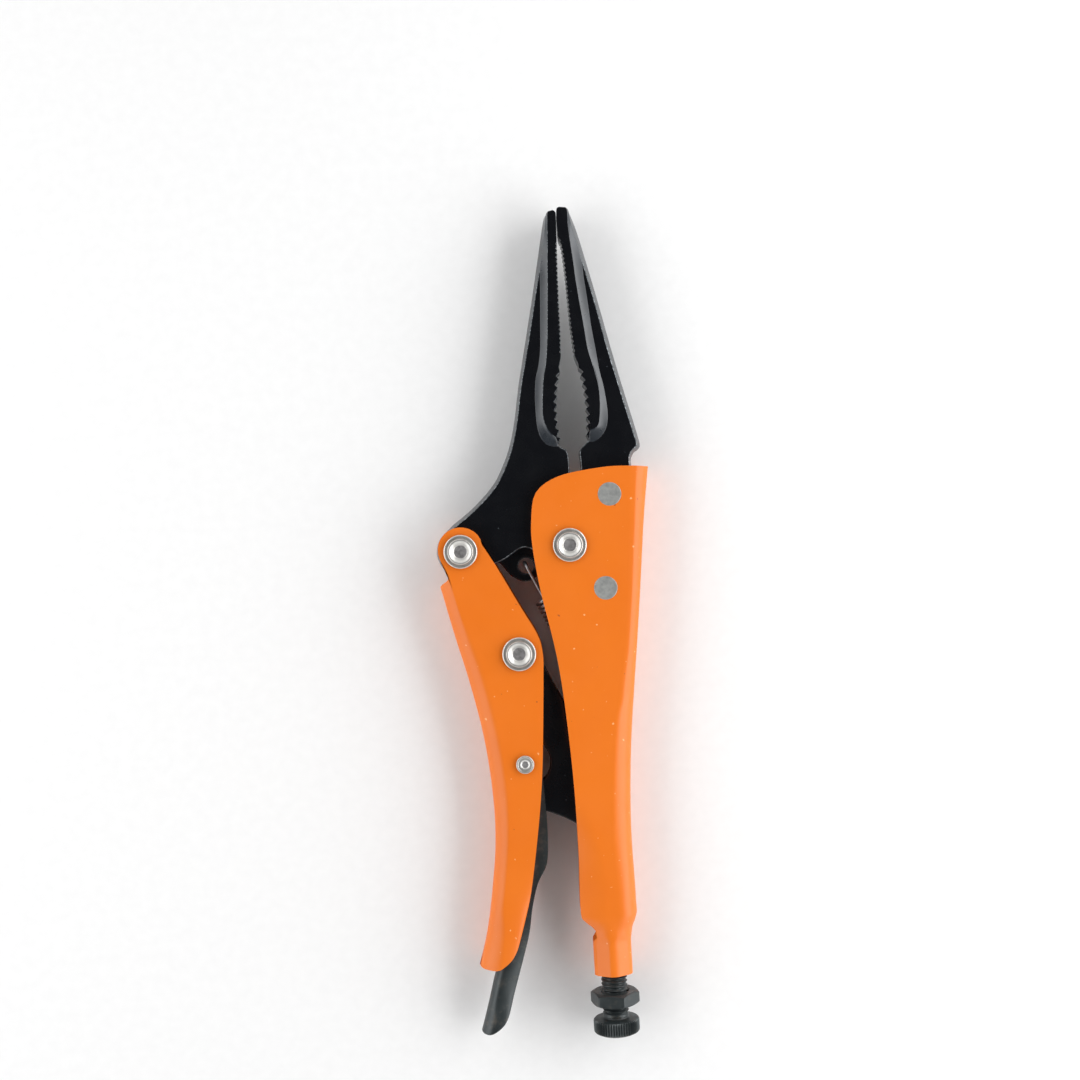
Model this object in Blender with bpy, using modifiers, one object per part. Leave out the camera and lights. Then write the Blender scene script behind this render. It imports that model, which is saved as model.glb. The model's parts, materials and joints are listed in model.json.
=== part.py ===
"""Locking pliers with curved jaws, nominal 10 inch size.

The pliers lie on their side with the jaws closed and the toggle locked: jaws towards +Y, the fixed
handle at +X, thickness along Z. Outlines are in millimetres in the plane of the tool, measured from
the jaw pivot, with the adjusting screw parallel to Y. Heights are measured from the middle plane.
"""

import math

import bmesh
import bpy
from mathutils import Matrix, Vector

MM = 0.001

# Pivots and rivets, in the plane of the tool.
JAW_PIVOT = (0.0, 0.0)
LEVER_PIVOT = (-32.4, -0.2)
LINK_PIVOT = (-16.8, -31.4)
RELEASE_PIVOT = (-16.9, -64.1)
SCREW_X = 5.9
LINK_NOSE = (SCREW_X, -81.5)
FIXED_RIVETS = {"front": (12.6, 14.4), "rear": (9.9, -13.3)}

# Half thicknesses of the layers, from the middle outwards.
LINK_HALF = 2.5
RELEASE_INNER = 2.8
RELEASE_OUTER = 4.0
JAW_HALF = 4.0
PAD_HALF = 5.0
TAB_HALF = 1.5
WALL_INNER = 4.3
WALL_OUTER = 6.3
WASHER_LOW = 6.6
WASHER_HIGH = 7.3
HEAD_LOW = 7.6
HEAD_HIGH = 8.2

GAP = 0.3
THROUGH = 9.0
SHEET = WALL_OUTER - WALL_INNER
FOLD_RADIUS = 2.8
RELEASE_SHEET = 1.3
RELEASE_FOLD = 1.6

# Jaw, lever and link pivots share one rivet and washer size.
RIVET_SHANK = 3.0
RIVET_HEAD = 3.5
WASHER_RADIUS = 5.0
FLAT_RIVET = 3.5
SMALL_SHANK = 1.7
SMALL_HEAD = 2.7
SMALL_HEAD_HIGH = 7.3
JAW_BOSS = 7.5
TAIL_BOSS = 7.4
LEVER_BOSS = 6.75
LEVER_BOSS_RISE = 0.5

# M8 adjusting screw and its jam nut.
THREAD_RADIUS = 3.9
BORE_RADIUS = 4.2
SCREW_TIP = -87.4
HEAD_START = -142.2
HEAD_LENGTH = 4.2
KNURL_RADIUS = 6.9
NUT_CENTRE = -136.0
NUT_LENGTH = 4.0
NUT_ACROSS_FLATS = 13.0
COLLAR_RADIUS = 6.0
COLLAR_START = -113.0
COLLAR_END = -128.6
CAVITY_END = -111.5

# Return spring, from the hole in the moving jaw's tab to the tongue in the fixed handle.
SPRING_FRONT = (-13.3, -5.5)
SPRING_REAR = (10.2, -53.5)
SPRING_RADIUS = 2.7
WIRE_RADIUS = 0.55
SPRING_TURNS = 17
COIL_START = 11.5
COIL_REAR = 6.5
FRONT_HOOK = 1.6
REAR_HOOK = 2.5
TAB_HOLE = 2.4
TONGUE_HOLE = 1.7

# The middle of the rest footprint, where the part's origin goes.
FOOTPRINT_CENTRE = (-7.522, -23.45)

STEEL_ORANGE = ("orange_enamel", (0.85, 0.20, 0.03), 0.42, 0.0)
STEEL_BLACK = ("black_jaw_finish", (0.012, 0.012, 0.014), 0.28, 0.3)
STEEL_OXIDE = ("black_oxide", (0.03, 0.035, 0.035), 0.45, 0.8)
STEEL_ZINC = ("bright_zinc", (0.72, 0.71, 0.68), 0.25, 1.0)
STEEL_DULL = ("dull_steel", (0.28, 0.29, 0.29), 0.5, 1.0)
STEEL_WIRE = ("spring_wire", (0.35, 0.35, 0.36), 0.35, 1.0)


def clear_scene():
    for obj in list(bpy.data.objects):
        bpy.data.objects.remove(obj, do_unlink=True)


def new_collection(name, hidden=False):
    made = bpy.data.collections.new(name)
    made.hide_render = hidden
    bpy.context.scene.collection.children.link(made)
    return made


def principled(name, colour, roughness, metallic):
    """A material of one colour, made once and shared."""
    made = bpy.data.materials.get(name)
    if made is None:
        made = bpy.data.materials.new(name)
        made.use_nodes = True
        shader = made.node_tree.nodes["Principled BSDF"]
        shader.inputs["Base Color"].default_value = (*colour, 1.0)
        shader.inputs["Roughness"].default_value = roughness
        shader.inputs["Metallic"].default_value = metallic
    return made


# Outlines


def arc(centre, radius, start, end, steps):
    """Points on a circle from one angle to another, in degrees, both ends included."""
    angles = [math.radians(start + (end - start) * i / steps) for i in range(steps + 1)]
    return [(centre[0] + radius * math.cos(a), centre[1] + radius * math.sin(a)) for a in angles]


def through(points, spans=3):
    """A smooth curve through a few points (Catmull-Rom), with the ends included."""
    ends = [points[0], *points, points[-1]]
    made = []
    for a, b, c, d in zip(ends, ends[1:], ends[2:], ends[3:]):
        a, b, c, d = Vector(a), Vector(b), Vector(c), Vector(d)
        for i in range(spans):
            t = i / spans
            made.append(
                b + (c - a) * 0.5 * t
                + (a - b * 2.5 + c * 2.0 - d * 0.5) * t * t
                + (b * 1.5 - c * 1.5 + (d - a) * 0.5) * t * t * t
            )
    made.append(Vector(points[-1]))
    return [tuple(p) for p in made]


def beside(points, distance):
    """The same line moved sideways: a positive distance is to the left of its direction."""
    made = []
    for i, point in enumerate(points):
        before = Vector(points[max(i - 1, 0)])
        after = Vector(points[min(i + 1, len(points) - 1)])
        along = (after - before).normalized()
        made.append((point[0] - along.y * distance, point[1] + along.x * distance))
    return made


def teeth(tips, depth, lean=0.35):
    """Saw teeth through a row of tips, with each valley to the left of the row by a depth."""
    made = [tips[0]]
    for a, b in zip(tips, tips[1:]):
        a, b = Vector(a), Vector(b)
        along = (b - a).normalized()
        made.append(tuple(a.lerp(b, lean) + Vector((-along.y, along.x)) * depth))
        made.append(tuple(b))
    return made


# Solids


def mesh_object(name, mesh, material, collection):
    obj = bpy.data.objects.new(name, mesh)
    collection.objects.link(obj)
    if material:
        mesh.materials.clear()
        mesh.materials.append(principled(*material))
    else:
        obj.hide_render = True
        obj.display_type = "WIRE"
    return obj


def plate(name, outline, low, high, material, collection):
    """A flat outline in millimetres, filled and extruded between two heights."""
    curve = bpy.data.curves.new(name, "CURVE")
    curve.dimensions = "2D"
    curve.fill_mode = "BOTH"
    curve.extrude = (high - low) * 0.5 * MM
    spline = curve.splines.new("POLY")
    spline.points.add(len(outline) - 1)
    for point, (x, y) in zip(spline.points, outline):
        point.co = (x * MM, y * MM, 0, 1)
    spline.use_cyclic_u = True
    return solid_from_curve(name, curve, material, collection, (high + low) * 0.5)


def solid_from_curve(name, curve, material, collection, height=0.0):
    """Turns a curve into a closed mesh object with its caps welded."""
    guide = bpy.data.objects.new(name + "_guide", curve)
    collection.objects.link(guide)
    bpy.context.view_layer.update()
    mesh = bpy.data.meshes.new_from_object(guide.evaluated_get(bpy.context.evaluated_depsgraph_get()))
    bpy.data.objects.remove(guide)
    work = bmesh.new()
    work.from_mesh(mesh)
    bmesh.ops.remove_doubles(work, verts=work.verts, dist=1e-6)
    bmesh.ops.recalc_face_normals(work, faces=work.faces)
    work.transform(Matrix.Translation((0, 0, height * MM)))
    work.to_mesh(mesh)
    work.free()
    return mesh_object(name, mesh, material, collection)


def round_long_edges(obj, line, half, radius, segments=4):
    """Rounds the two edges that follow a line of the outline, on both faces of a plate."""
    on_line = {(round(x, 2), round(y, 2)) for x, y in line}

    def listed(vert):
        at = vert.co / MM
        return (round(at.x, 2), round(at.y, 2)) in on_line and abs(abs(at.z) - half) < 0.01

    work = bmesh.new()
    work.from_mesh(obj.data)
    edges = [
        e for e in work.edges
        if listed(e.verts[0]) and listed(e.verts[1]) and e.verts[0].co.z * e.verts[1].co.z > 0
    ]
    bmesh.ops.bevel(
        work, geom=edges, offset=radius * MM, segments=segments, profile=0.5, affect="EDGES"
    )
    work.to_mesh(obj.data)
    work.free()


def turned(name, profile, material, collection, ring=False, steps=24):
    """A profile of (radius, height) points in millimetres, run top to bottom and turned about Z."""
    mesh = bpy.data.meshes.new(name)
    count = len(profile)
    edges = [(i, i + 1) for i in range(count - 1)]
    if ring:
        edges.append((count - 1, 0))
    mesh.from_pydata([(r * MM, 0, z * MM) for r, z in profile], edges, [])
    obj = mesh_object(name, mesh, material, collection)
    screw = obj.modifiers.new("turn", "SCREW")
    screw.axis = "Z"
    screw.steps = steps
    screw.render_steps = steps
    screw.use_merge_vertices = True
    screw.merge_threshold = 1e-5
    screw.use_smooth_shade = True
    return obj


def drill(name, at, radius, half, collection, steps=24):
    """A round cutter through the thickness at a point of the plane."""
    bpy.ops.mesh.primitive_cylinder_add(
        vertices=steps, radius=radius * MM, depth=2 * half * MM, location=(at[0] * MM, at[1] * MM, 0)
    )
    obj = bpy.context.object
    obj.name = name
    for owner in list(obj.users_collection):
        owner.objects.unlink(obj)
    collection.objects.link(obj)
    obj.hide_render = True
    obj.display_type = "WIRE"
    return obj


def bar_along_y(name, centre_x, start, end, radius, sides, turn, material, collection):
    """A prism or round bar along Y, between two places on that axis."""
    bpy.ops.mesh.primitive_cylinder_add(
        vertices=sides,
        radius=radius * MM,
        depth=abs(end - start) * MM,
        location=(centre_x * MM, (start + end) * 0.5 * MM, 0),
        rotation=(math.radians(90), math.radians(turn), 0),
    )
    obj = bpy.context.object
    bpy.ops.object.transform_apply(location=True, rotation=True, scale=True)
    mesh = obj.data
    bpy.data.objects.remove(obj)
    return mesh_object(name, mesh, material, collection)


def combine(obj, operation, other):
    """A Boolean with the exact solver, left on the object."""
    step = obj.modifiers.new(operation.lower() + "_" + other.name, "BOOLEAN")
    step.operation = operation
    step.object = other
    step.solver = "EXACT"


def hang(obj, pivot):
    """Parents an object and its cutters to a pivot's empty, leaving them where they are drawn."""
    obj.parent = pivot
    obj.matrix_parent_inverse = Matrix.Translation(-Vector(pivot["at"]))
    for modifier in obj.modifiers:
        if modifier.type == "BOOLEAN" and modifier.object.parent is None:
            hang(modifier.object, pivot)


def empty(name, at, parent, collection):
    """An empty at a point in millimetres of the tool's plane, for the pieces that turn about it."""
    made = bpy.data.objects.new(name, None)
    made.empty_display_size = 0.01
    collection.objects.link(made)
    made["at"] = (at[0] * MM, at[1] * MM, 0.0)
    made.parent = parent
    made.location = Vector(made["at"])
    if parent:
        made.location -= Vector(parent["at"])
    return made


# Fixed side


def make_main_handle(parts, cutters, root):
    """The folded sheet channel: two side walls, a round spine at +X and a threaded collar below."""
    spine = through([
        (24.7, 22.0), (22.5, 6.2), (19.9, -17.7), (16.4, -47.6), (14.6, -65.5),
        (13.6, -85.0), (13.8, -102.0), (13.8, -109.0), (13.3, -113.0), (11.7, -118.0),
    ])
    foot = [(1.4, -116.4), (0.7, -115.0), (-0.5, -113.9), (-1.7, -112.6), (-2.6, -110.9)]
    open_edge = through([
        (-3.0, -109.0), (-2.9, -102.0), (-2.6, -90.0), (-3.1, -65.0), (-5.3, -36.0),
        (-9.6, -12.0), (-11.2, 2.0), (-10.8, 10.0),
    ])
    top = through([(-9.9, 14.8), (-7.5, 17.8), (-3.2, 20.2), (4.8, 21.8), (14.0, 22.6)])
    handle = plate(
        "main_handle", spine + foot + open_edge + top, -WALL_OUTER, WALL_OUTER, STEEL_ORANGE, parts
    )
    round_long_edges(handle, spine, WALL_OUTER, FOLD_RADIUS)

    collar = bar_along_y(
        "collar_cutter", SCREW_X, COLLAR_START, COLLAR_END,
        COLLAR_RADIUS / math.cos(math.pi / 8), 8, 22.5, None, cutters,
    )
    combine(handle, "UNION", collar)

    inner_spine = [p for p in beside(spine, -SHEET) if p[1] > CAVITY_END]
    inside = plate(
        "channel_cutter",
        [(inner_spine[0][0], 40.0), *inner_spine, (10.4, CAVITY_END), (2.4, CAVITY_END),
         (-0.7, CAVITY_END - 3.0), (-0.7, -118.0), (-30.0, -118.0), (-30.0, 40.0)],
        -WALL_INNER, WALL_INNER, None, cutters,
    )
    combine(handle, "DIFFERENCE", inside)

    tongue = plate(
        "tongue_cutter",
        [(7.4, -51.6), (8.4, -50.6), (15.0, -50.6), (15.0, -56.6), (8.4, -56.6), (7.4, -55.6)],
        -0.8, 0.8, None, cutters,
    )
    combine(handle, "UNION", tongue)
    combine(handle, "DIFFERENCE", drill("tongue_hole_cutter", SPRING_REAR, TONGUE_HOLE, 3.0, cutters, 16))

    bore = bar_along_y(
        "collar_bore_cutter", SCREW_X, COLLAR_START + 8, COLLAR_END - 3,
        BORE_RADIUS, 32, 0, None, cutters,
    )
    combine(handle, "DIFFERENCE", bore)
    hole = drill("handle_pivot_hole_cutter", JAW_PIVOT, RIVET_SHANK + GAP, THROUGH, cutters)
    combine(handle, "DIFFERENCE", hole)
    for place, at in FIXED_RIVETS.items():
        hole = drill("handle_" + place + "_hole_cutter", at, FLAT_RIVET + GAP, THROUGH, cutters)
        combine(handle, "DIFFERENCE", hole)
    hang(handle, root)


def make_fixed_jaw(parts, cutters, root):
    """The jaw riveted between the fixed handle's walls, with a thicker toothed pad along its inner edge."""
    outer = through([
        (5.2, 99.6), (6.5, 96.7), (7.6, 93.2), (9.9, 83.9), (12.6, 72.4),
        (15.6, 58.8), (18.4, 47.0), (21.4, 35.0), (22.7, 29.2),
    ])
    notch = through([(22.7, 28.2), (22.0, 27.2), (20.2, 25.5), (19.8, 24.0)], 2)
    shoulder = [(20.0, 20.0), (20.0, 8.0), (18.0, -8.0), (16.6, -17.0), (14.6, -19.0), (5.2, -19.4)]
    socket = [(3.6, -15.0), *arc(JAW_PIVOT, JAW_BOSS + 0.4, -62, 62, 12)]
    throat = through([(4.4, 12.0), (4.6, 18.0), (4.5, 25.0), (4.4, 27.0), (6.2, 29.5), (8.2, 31.6)], 2)
    back = through([(8.9, 38.0), (8.4, 46.0), (6.8, 54.0), (5.2, 64.0), (4.2, 80.0), (2.9, 98.4)])
    jaw = plate(
        "fixed_jaw", outer + notch + shoulder + socket + throat + back + [(3.1, 100.2), (4.4, 100.4)],
        -JAW_HALF, JAW_HALF, STEEL_BLACK, parts,
    )
    pad_back = through([
        (4.9, 98.6), (5.4, 92.0), (7.3, 82.0), (8.2, 72.0), (9.6, 60.0),
        (11.2, 50.5), (12.3, 42.0), (12.0, 36.0), (10.0, 31.8),
    ])
    grip = teeth(arc((-54.7, 38.9), 61.9, -6.2, 12.5, 8), -0.9)
    face = through([(4.7, 56.2), (4.1, 61.6), (3.2, 80.0), (2.3, 90.0), (1.9, 92.6), (1.9, 99.0)])
    pad = plate("fixed_pad_cutter", pad_back + grip + face, -PAD_HALF, PAD_HALF, None, cutters)
    combine(jaw, "UNION", pad)
    for place, at in FIXED_RIVETS.items():
        hole = drill("jaw_" + place + "_hole_cutter", at, FLAT_RIVET + GAP, THROUGH, cutters)
        combine(jaw, "DIFFERENCE", hole)
    hang(jaw, root)


# Moving jaw


def make_moving_jaw(parts, cutters, pivot):
    """The jaw that turns on the fixed handle, with a tail for the lever and a thin tab for the spring."""
    outer = through([
        (-1.4, 98.8), (-2.8, 95.0), (-4.4, 87.0), (-6.2, 78.0),
        (-8.0, 69.4), (-10.1, 59.6), (-12.6, 48.0), (-14.4, 37.7),
        (-16.5, 29.7), (-19.5, 22.9), (-22.6, 18.2), (-28.5, 12.4), (-34.6, 7.6),
    ])
    tail = arc(LEVER_PIVOT, TAIL_BOSS, 125, 285, 10)
    step = through([(-24.0, -5.2), (-19.5, -3.4), (-14.2, -0.3), (-10.6, -1.2)], 2)
    boss = arc(JAW_PIVOT, JAW_BOSS, 190, 434, 16)
    throat = through([(1.4, 12.0), (1.2, 18.0), (1.3, 25.0), (1.1, 27.2), (-0.6, 29.2), (-2.2, 30.6)], 2)
    back = through([(-3.0, 38.0), (-2.7, 46.0), (-1.2, 54.0), (-0.4, 64.0), (0.2, 80.0), (0.7, 98.6)])
    jaw = plate(
        "moving_jaw", outer + tail + step + boss + throat + back + [(0.8, 99.6), (-0.6, 99.8)],
        -JAW_HALF, JAW_HALF, STEEL_BLACK, parts,
    )
    pad_back = through([
        (-1.3, 98.6), (-2.3, 91.0), (-3.1, 82.0), (-3.9, 68.0), (-5.2, 53.6),
        (-6.6, 45.5), (-6.8, 38.0), (-5.6, 33.0), (-3.0, 30.6),
    ])
    grip = teeth(arc((52.3, 39.0), 53.7, 188.1, 166.6, 8), 0.9)
    face = through([(0.6, 56.0), (0.9, 61.7), (1.1, 81.0), (1.4, 93.3), (1.4, 98.8)])
    pad = plate("moving_pad_cutter", pad_back + grip + face, -PAD_HALF, PAD_HALF, None, cutters)
    combine(jaw, "UNION", pad)

    tab = plate(
        "tab_cutter",
        through([(-24.0, -2.0), (-21.0, -4.4), (-17.7, -8.4), (-13.6, -10.2), (-10.0, -8.6), (-6.0, -3.0)])
        + [(-4.0, 2.0), (-20.0, 3.0)],
        -TAB_HALF, TAB_HALF, None, cutters,
    )
    combine(jaw, "UNION", tab)
    combine(jaw, "DIFFERENCE", drill("hook_hole_cutter", SPRING_FRONT, TAB_HOLE, THROUGH, cutters, 20))
    for name, at in (("jaw_bore_cutter", JAW_PIVOT), ("tail_bore_cutter", LEVER_PIVOT)):
        combine(jaw, "DIFFERENCE", drill(name, at, RIVET_SHANK + GAP, THROUGH, cutters))
    hang(jaw, pivot)


# Lever side


def make_lever_handle(parts, cutters, pivot):
    """The outer lever: a folded sheet channel with its round spine at -X and its open side at +X."""
    spine = through([
        (-39.2, -10.4), (-35.8, -25.0), (-31.9, -40.5), (-28.8, -56.5), (-27.2, -73.0), (-27.2, -87.0),
        (-28.8, -100.5), (-31.2, -114.0), (-34.0, -123.8),
    ])
    end = through([(-33.2, -124.5), (-29.4, -125.0), (-26.4, -123.9), (-24.3, -122.2), (-22.7, -119.9)], 2)
    open_edge = through([
        (-20.5, -113.4), (-17.0, -100.5), (-13.9, -82.1), (-12.1, -68.0), (-11.0, -54.0), (-10.0, -38.0),
        (-9.8, -32.0), (-11.0, -26.2), (-16.0, -16.8), (-22.4, -4.6), (-26.0, 1.6),
    ])
    boss = arc((LEVER_PIVOT[0], LEVER_PIVOT[1] + LEVER_BOSS_RISE), LEVER_BOSS, 28, 222, 14)
    waist = through([(-36.2, -6.6), (-36.6, -8.4), (-38.4, -9.6)], 2)
    lever = plate(
        "lever_handle", spine + end + open_edge + boss + waist, -WALL_OUTER, WALL_OUTER, STEEL_ORANGE, parts
    )
    round_long_edges(lever, spine[2:], WALL_OUTER, FOLD_RADIUS)
    inner_spine = beside(spine, SHEET)
    low = inner_spine[-1]
    inside = plate(
        "lever_channel_cutter",
        [(inner_spine[0][0] - 4.0, 20.0), (inner_spine[0][0] - 4.0, -9.0), *inner_spine,
         (low[0] - 1.0, -130.0), (0.0, -130.0), (0.0, 20.0)],
        -WALL_INNER, WALL_INNER, None, cutters,
    )
    combine(lever, "DIFFERENCE", inside)
    for name, at in (("lever_bore_cutter", LEVER_PIVOT), ("link_bore_cutter", LINK_PIVOT)):
        combine(lever, "DIFFERENCE", drill(name, at, RIVET_SHANK + GAP, THROUGH, cutters))
    small = drill("release_bore_cutter", RELEASE_PIVOT, SMALL_SHANK + GAP, THROUGH, cutters, 16)
    combine(lever, "DIFFERENCE", small)
    hang(lever, pivot)


def make_toggle_link(parts, cutters, pivot):
    """The flat link from the lever to the tip of the adjusting screw, notched round the small rivet."""
    head = arc(LINK_PIVOT, 6.2, 190, 25, 9)
    right = [(-9.0, -37.0), (2.0, -59.5), (9.6, -74.0)]
    nose = arc(LINK_NOSE, 3.2, 25, -115, 8)
    bottom = through([(-2.3, -83.5), (-6.1, -81.2), (-11.6, -78.8), (-15.2, -77.4)])
    notch = arc(RELEASE_PIVOT, 7.5, -80, 92, 12)
    link = plate(
        "toggle_link", head + right + nose + bottom + notch, -LINK_HALF, LINK_HALF, STEEL_BLACK, parts
    )
    combine(link, "DIFFERENCE", drill("link_hole_cutter", LINK_PIVOT, RIVET_SHANK + GAP, THROUGH, cutters))
    hang(link, pivot)


def make_release_lever(parts, cutters, pivot):
    """The release lever: a thin channel inside the outer lever, whose upper end pushes on the link."""
    spine = through([
        (-20.2, -50.6), (-22.8, -53.0), (-24.3, -60.0), (-23.9, -70.0), (-23.3, -82.0), (-23.6, -91.6),
        (-24.4, -100.5), (-25.4, -109.5), (-26.9, -118.4),
        (-30.0, -128.3), (-32.6, -137.4), (-34.5, -143.5),
    ])
    end = through([(-33.8, -144.0), (-32.2, -144.3), (-28.8, -142.8), (-26.1, -139.3)])
    open_edge = through([
        (-23.9, -132.1), (-20.5, -121.0), (-17.2, -107.0), (-15.2, -100.0), (-12.2, -94.2), (-11.5, -86.0),
        (-11.7, -75.0), (-12.4, -64.0), (-15.0, -59.0), (-19.3, -56.0),
    ])
    release = plate(
        "release_lever", spine + end + open_edge, -RELEASE_OUTER, RELEASE_OUTER, STEEL_OXIDE, parts
    )
    round_long_edges(release, spine[3:], RELEASE_OUTER, RELEASE_FOLD, 3)
    inner = [p for p in beside(spine, RELEASE_SHEET) if p[1] < -56.0]
    low = inner[-1]
    inside = plate(
        "release_channel_cutter",
        [(inner[0][0] + 3.0, -55.0), *inner, (low[0] - 1.0, -150.0), (0.0, -150.0), (0.0, -55.0)],
        -RELEASE_INNER, RELEASE_INNER, None, cutters,
    )
    combine(release, "DIFFERENCE", inside)
    bore = drill("release_hole_cutter", RELEASE_PIVOT, SMALL_SHANK + GAP, THROUGH, cutters, 16)
    combine(release, "DIFFERENCE", bore)
    hang(release, pivot)


# Rivets and washers


def make_pivot_set(name, at, parts, pivot):
    """A shouldered rivet with a plain washer under each head."""
    half = [
        (0.0, HEAD_HIGH), (RIVET_HEAD - GAP, HEAD_HIGH),
        (RIVET_HEAD, HEAD_HIGH - GAP), (RIVET_HEAD, HEAD_LOW),
        (RIVET_SHANK, HEAD_LOW),
    ]
    whole = half + [(r, -z) for r, z in reversed(half)]
    rivet = turned(name + "_rivet", whole, STEEL_ZINC, parts)
    rivet.location = (at[0] * MM, at[1] * MM, 0)
    hang(rivet, pivot)
    inner = RIVET_SHANK + GAP
    outer = WASHER_RADIUS
    ring = [(inner, WASHER_HIGH), (outer, WASHER_HIGH), (outer, WASHER_LOW), (inner, WASHER_LOW)]
    for side, flip in (("top", 1), ("bottom", -1)):
        washer = turned(name + "_washer_" + side, ring, STEEL_ZINC, parts, ring=True)
        washer.location = (at[0] * MM, at[1] * MM, 0)
        if flip < 0:
            washer.rotation_euler = (math.pi, 0, 0)
        hang(washer, pivot)


def make_small_rivet(parts, pivot):
    """The rivet that the release lever turns on, headed straight onto the lever's walls."""
    half = [
        (0.0, SMALL_HEAD_HIGH), (SMALL_HEAD, SMALL_HEAD_HIGH),
        (SMALL_HEAD, WASHER_LOW), (SMALL_SHANK, WASHER_LOW),
    ]
    whole = half + [(r, -z) for r, z in reversed(half)]
    rivet = turned("release_lever_rivet", whole, STEEL_ZINC, parts)
    rivet.location = (RELEASE_PIVOT[0] * MM, RELEASE_PIVOT[1] * MM, 0)
    hang(rivet, pivot)


def make_flat_rivets(parts, root):
    """The two flush rivets that hold the fixed jaw."""
    top = WALL_OUTER + 0.1
    half = [(0.0, top), (FLAT_RIVET - 0.2, top), (FLAT_RIVET, top - 0.2)]
    for place, at in FIXED_RIVETS.items():
        whole = half + [(r, -z) for r, z in reversed(half)]
        rivet = turned("fixed_jaw_rivet_" + place, whole, STEEL_DULL, parts)
        rivet.location = (at[0] * MM, at[1] * MM, 0)
        hang(rivet, root)


# Adjusting screw and spring


def make_adjusting_screw(parts, pivot):
    """The screw along Y: a chamfered tip, a plain shank at the thread's size and a knurled head."""
    shank = THREAD_RADIUS
    head = HEAD_START - SCREW_TIP
    foot = head - HEAD_LENGTH
    profile = [
        (0.0, 0.0), (2.6, 0.0), (shank, -1.6), (shank, head), (KNURL_RADIUS - 0.5, head),
        (KNURL_RADIUS, head - 0.5), (KNURL_RADIUS, foot + 0.5), (KNURL_RADIUS - 0.6, foot),
        (3.6, foot), (2.8, foot - 0.9), (0.0, foot - 0.9),
    ]
    screw = turned("adjusting_screw", profile, STEEL_OXIDE, parts, steps=32)
    screw.rotation_euler = (math.radians(-90), 0, 0)
    screw.location = (SCREW_X * MM, SCREW_TIP * MM, 0)
    hang(screw, pivot)


def make_lock_nut(parts, cutters, pivot):
    """A thin hexagon nut on the screw, below the collar."""
    across_corners = NUT_ACROSS_FLATS / math.cos(math.pi / 6) * 0.5
    nut = bar_along_y(
        "lock_nut", SCREW_X, NUT_CENTRE + NUT_LENGTH / 2, NUT_CENTRE - NUT_LENGTH / 2,
        across_corners, 6, 12, STEEL_OXIDE, parts,
    )
    bore = bar_along_y(
        "nut_bore_cutter", SCREW_X, NUT_CENTRE + 5, NUT_CENTRE - 5, BORE_RADIUS, 32, 0, None, cutters
    )
    combine(nut, "DIFFERENCE", bore)
    hang(nut, pivot)


def make_return_spring(parts, root):
    """An extension spring with a hook at each end, through the jaw's tab and the handle's tongue."""
    front = Vector((*SPRING_FRONT, 0))
    rear = Vector((*SPRING_REAR, 0))
    length = (rear - front).length
    along = (rear - front).normalized()
    up = Vector((0, 0, 1))
    side = along.cross(up)

    def at(distance, out, height):
        return front + along * distance + side * out + up * height

    def hook(centre, start, end):
        angles = [math.radians(start + (end - start) * i / 7) for i in range(8)]
        return [at(centre + SPRING_RADIUS * math.cos(a), 0, SPRING_RADIUS * math.sin(a)) for a in angles]

    count = SPRING_TURNS * 10
    coil = []
    for i in range(count + 1):
        angle = 2 * math.pi * i / 10
        distance = COIL_START + (length - COIL_REAR - COIL_START) * i / count
        coil.append(at(distance, SPRING_RADIUS * math.sin(angle), SPRING_RADIUS * math.cos(angle)))
    points = hook(FRONT_HOOK, 230, 90) + coil + hook(length - REAR_HOOK, 90, -50)

    curve = bpy.data.curves.new("return_spring", "CURVE")
    curve.dimensions = "3D"
    curve.bevel_depth = WIRE_RADIUS * MM
    curve.bevel_resolution = 1
    curve.use_fill_caps = True
    spline = curve.splines.new("POLY")
    spline.points.add(len(points) - 1)
    for point, place in zip(spline.points, points):
        point.co = (*(place * MM), 1)
    hang(solid_from_curve("return_spring", curve, STEEL_WIRE, parts), root)


def main():
    clear_scene()
    parts = new_collection("locking_pliers")
    cutters = new_collection("cutters", hidden=True)
    root = empty("pliers_frame", (0, 0), None, parts)
    root.location = (-FOOTPRINT_CENTRE[0] * MM, -FOOTPRINT_CENTRE[1] * MM, HEAD_HIGH * MM)
    jaw = empty("jaw_pivot", JAW_PIVOT, root, parts)
    lever = empty("lever_pivot", LEVER_PIVOT, jaw, parts)
    link = empty("link_pivot", LINK_PIVOT, lever, parts)
    release = empty("release_pivot", RELEASE_PIVOT, lever, parts)
    screw = empty("screw_axis", (SCREW_X, SCREW_TIP), root, parts)

    make_main_handle(parts, cutters, root)
    make_fixed_jaw(parts, cutters, root)
    make_flat_rivets(parts, root)
    make_pivot_set("jaw_pivot", JAW_PIVOT, parts, root)
    make_moving_jaw(parts, cutters, jaw)
    make_lever_handle(parts, cutters, lever)
    make_pivot_set("lever_pivot", LEVER_PIVOT, parts, lever)
    make_pivot_set("link_pivot", LINK_PIVOT, parts, lever)
    make_small_rivet(parts, lever)
    make_toggle_link(parts, cutters, link)
    make_release_lever(parts, cutters, release)
    make_adjusting_screw(parts, screw)
    make_lock_nut(parts, cutters, screw)
    make_return_spring(parts, root)


main()
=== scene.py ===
"""The looks of the locking pliers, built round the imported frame.

Shapes are drawn in millimetres in the plane of the tool, from the jaw pivot, with the adjusting
screw parallel to Y and heights from the middle plane. One matrix then puts them in the frame.
"""

import json
import math

import bmesh
import bpy
from mathutils import Matrix, Vector


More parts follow.
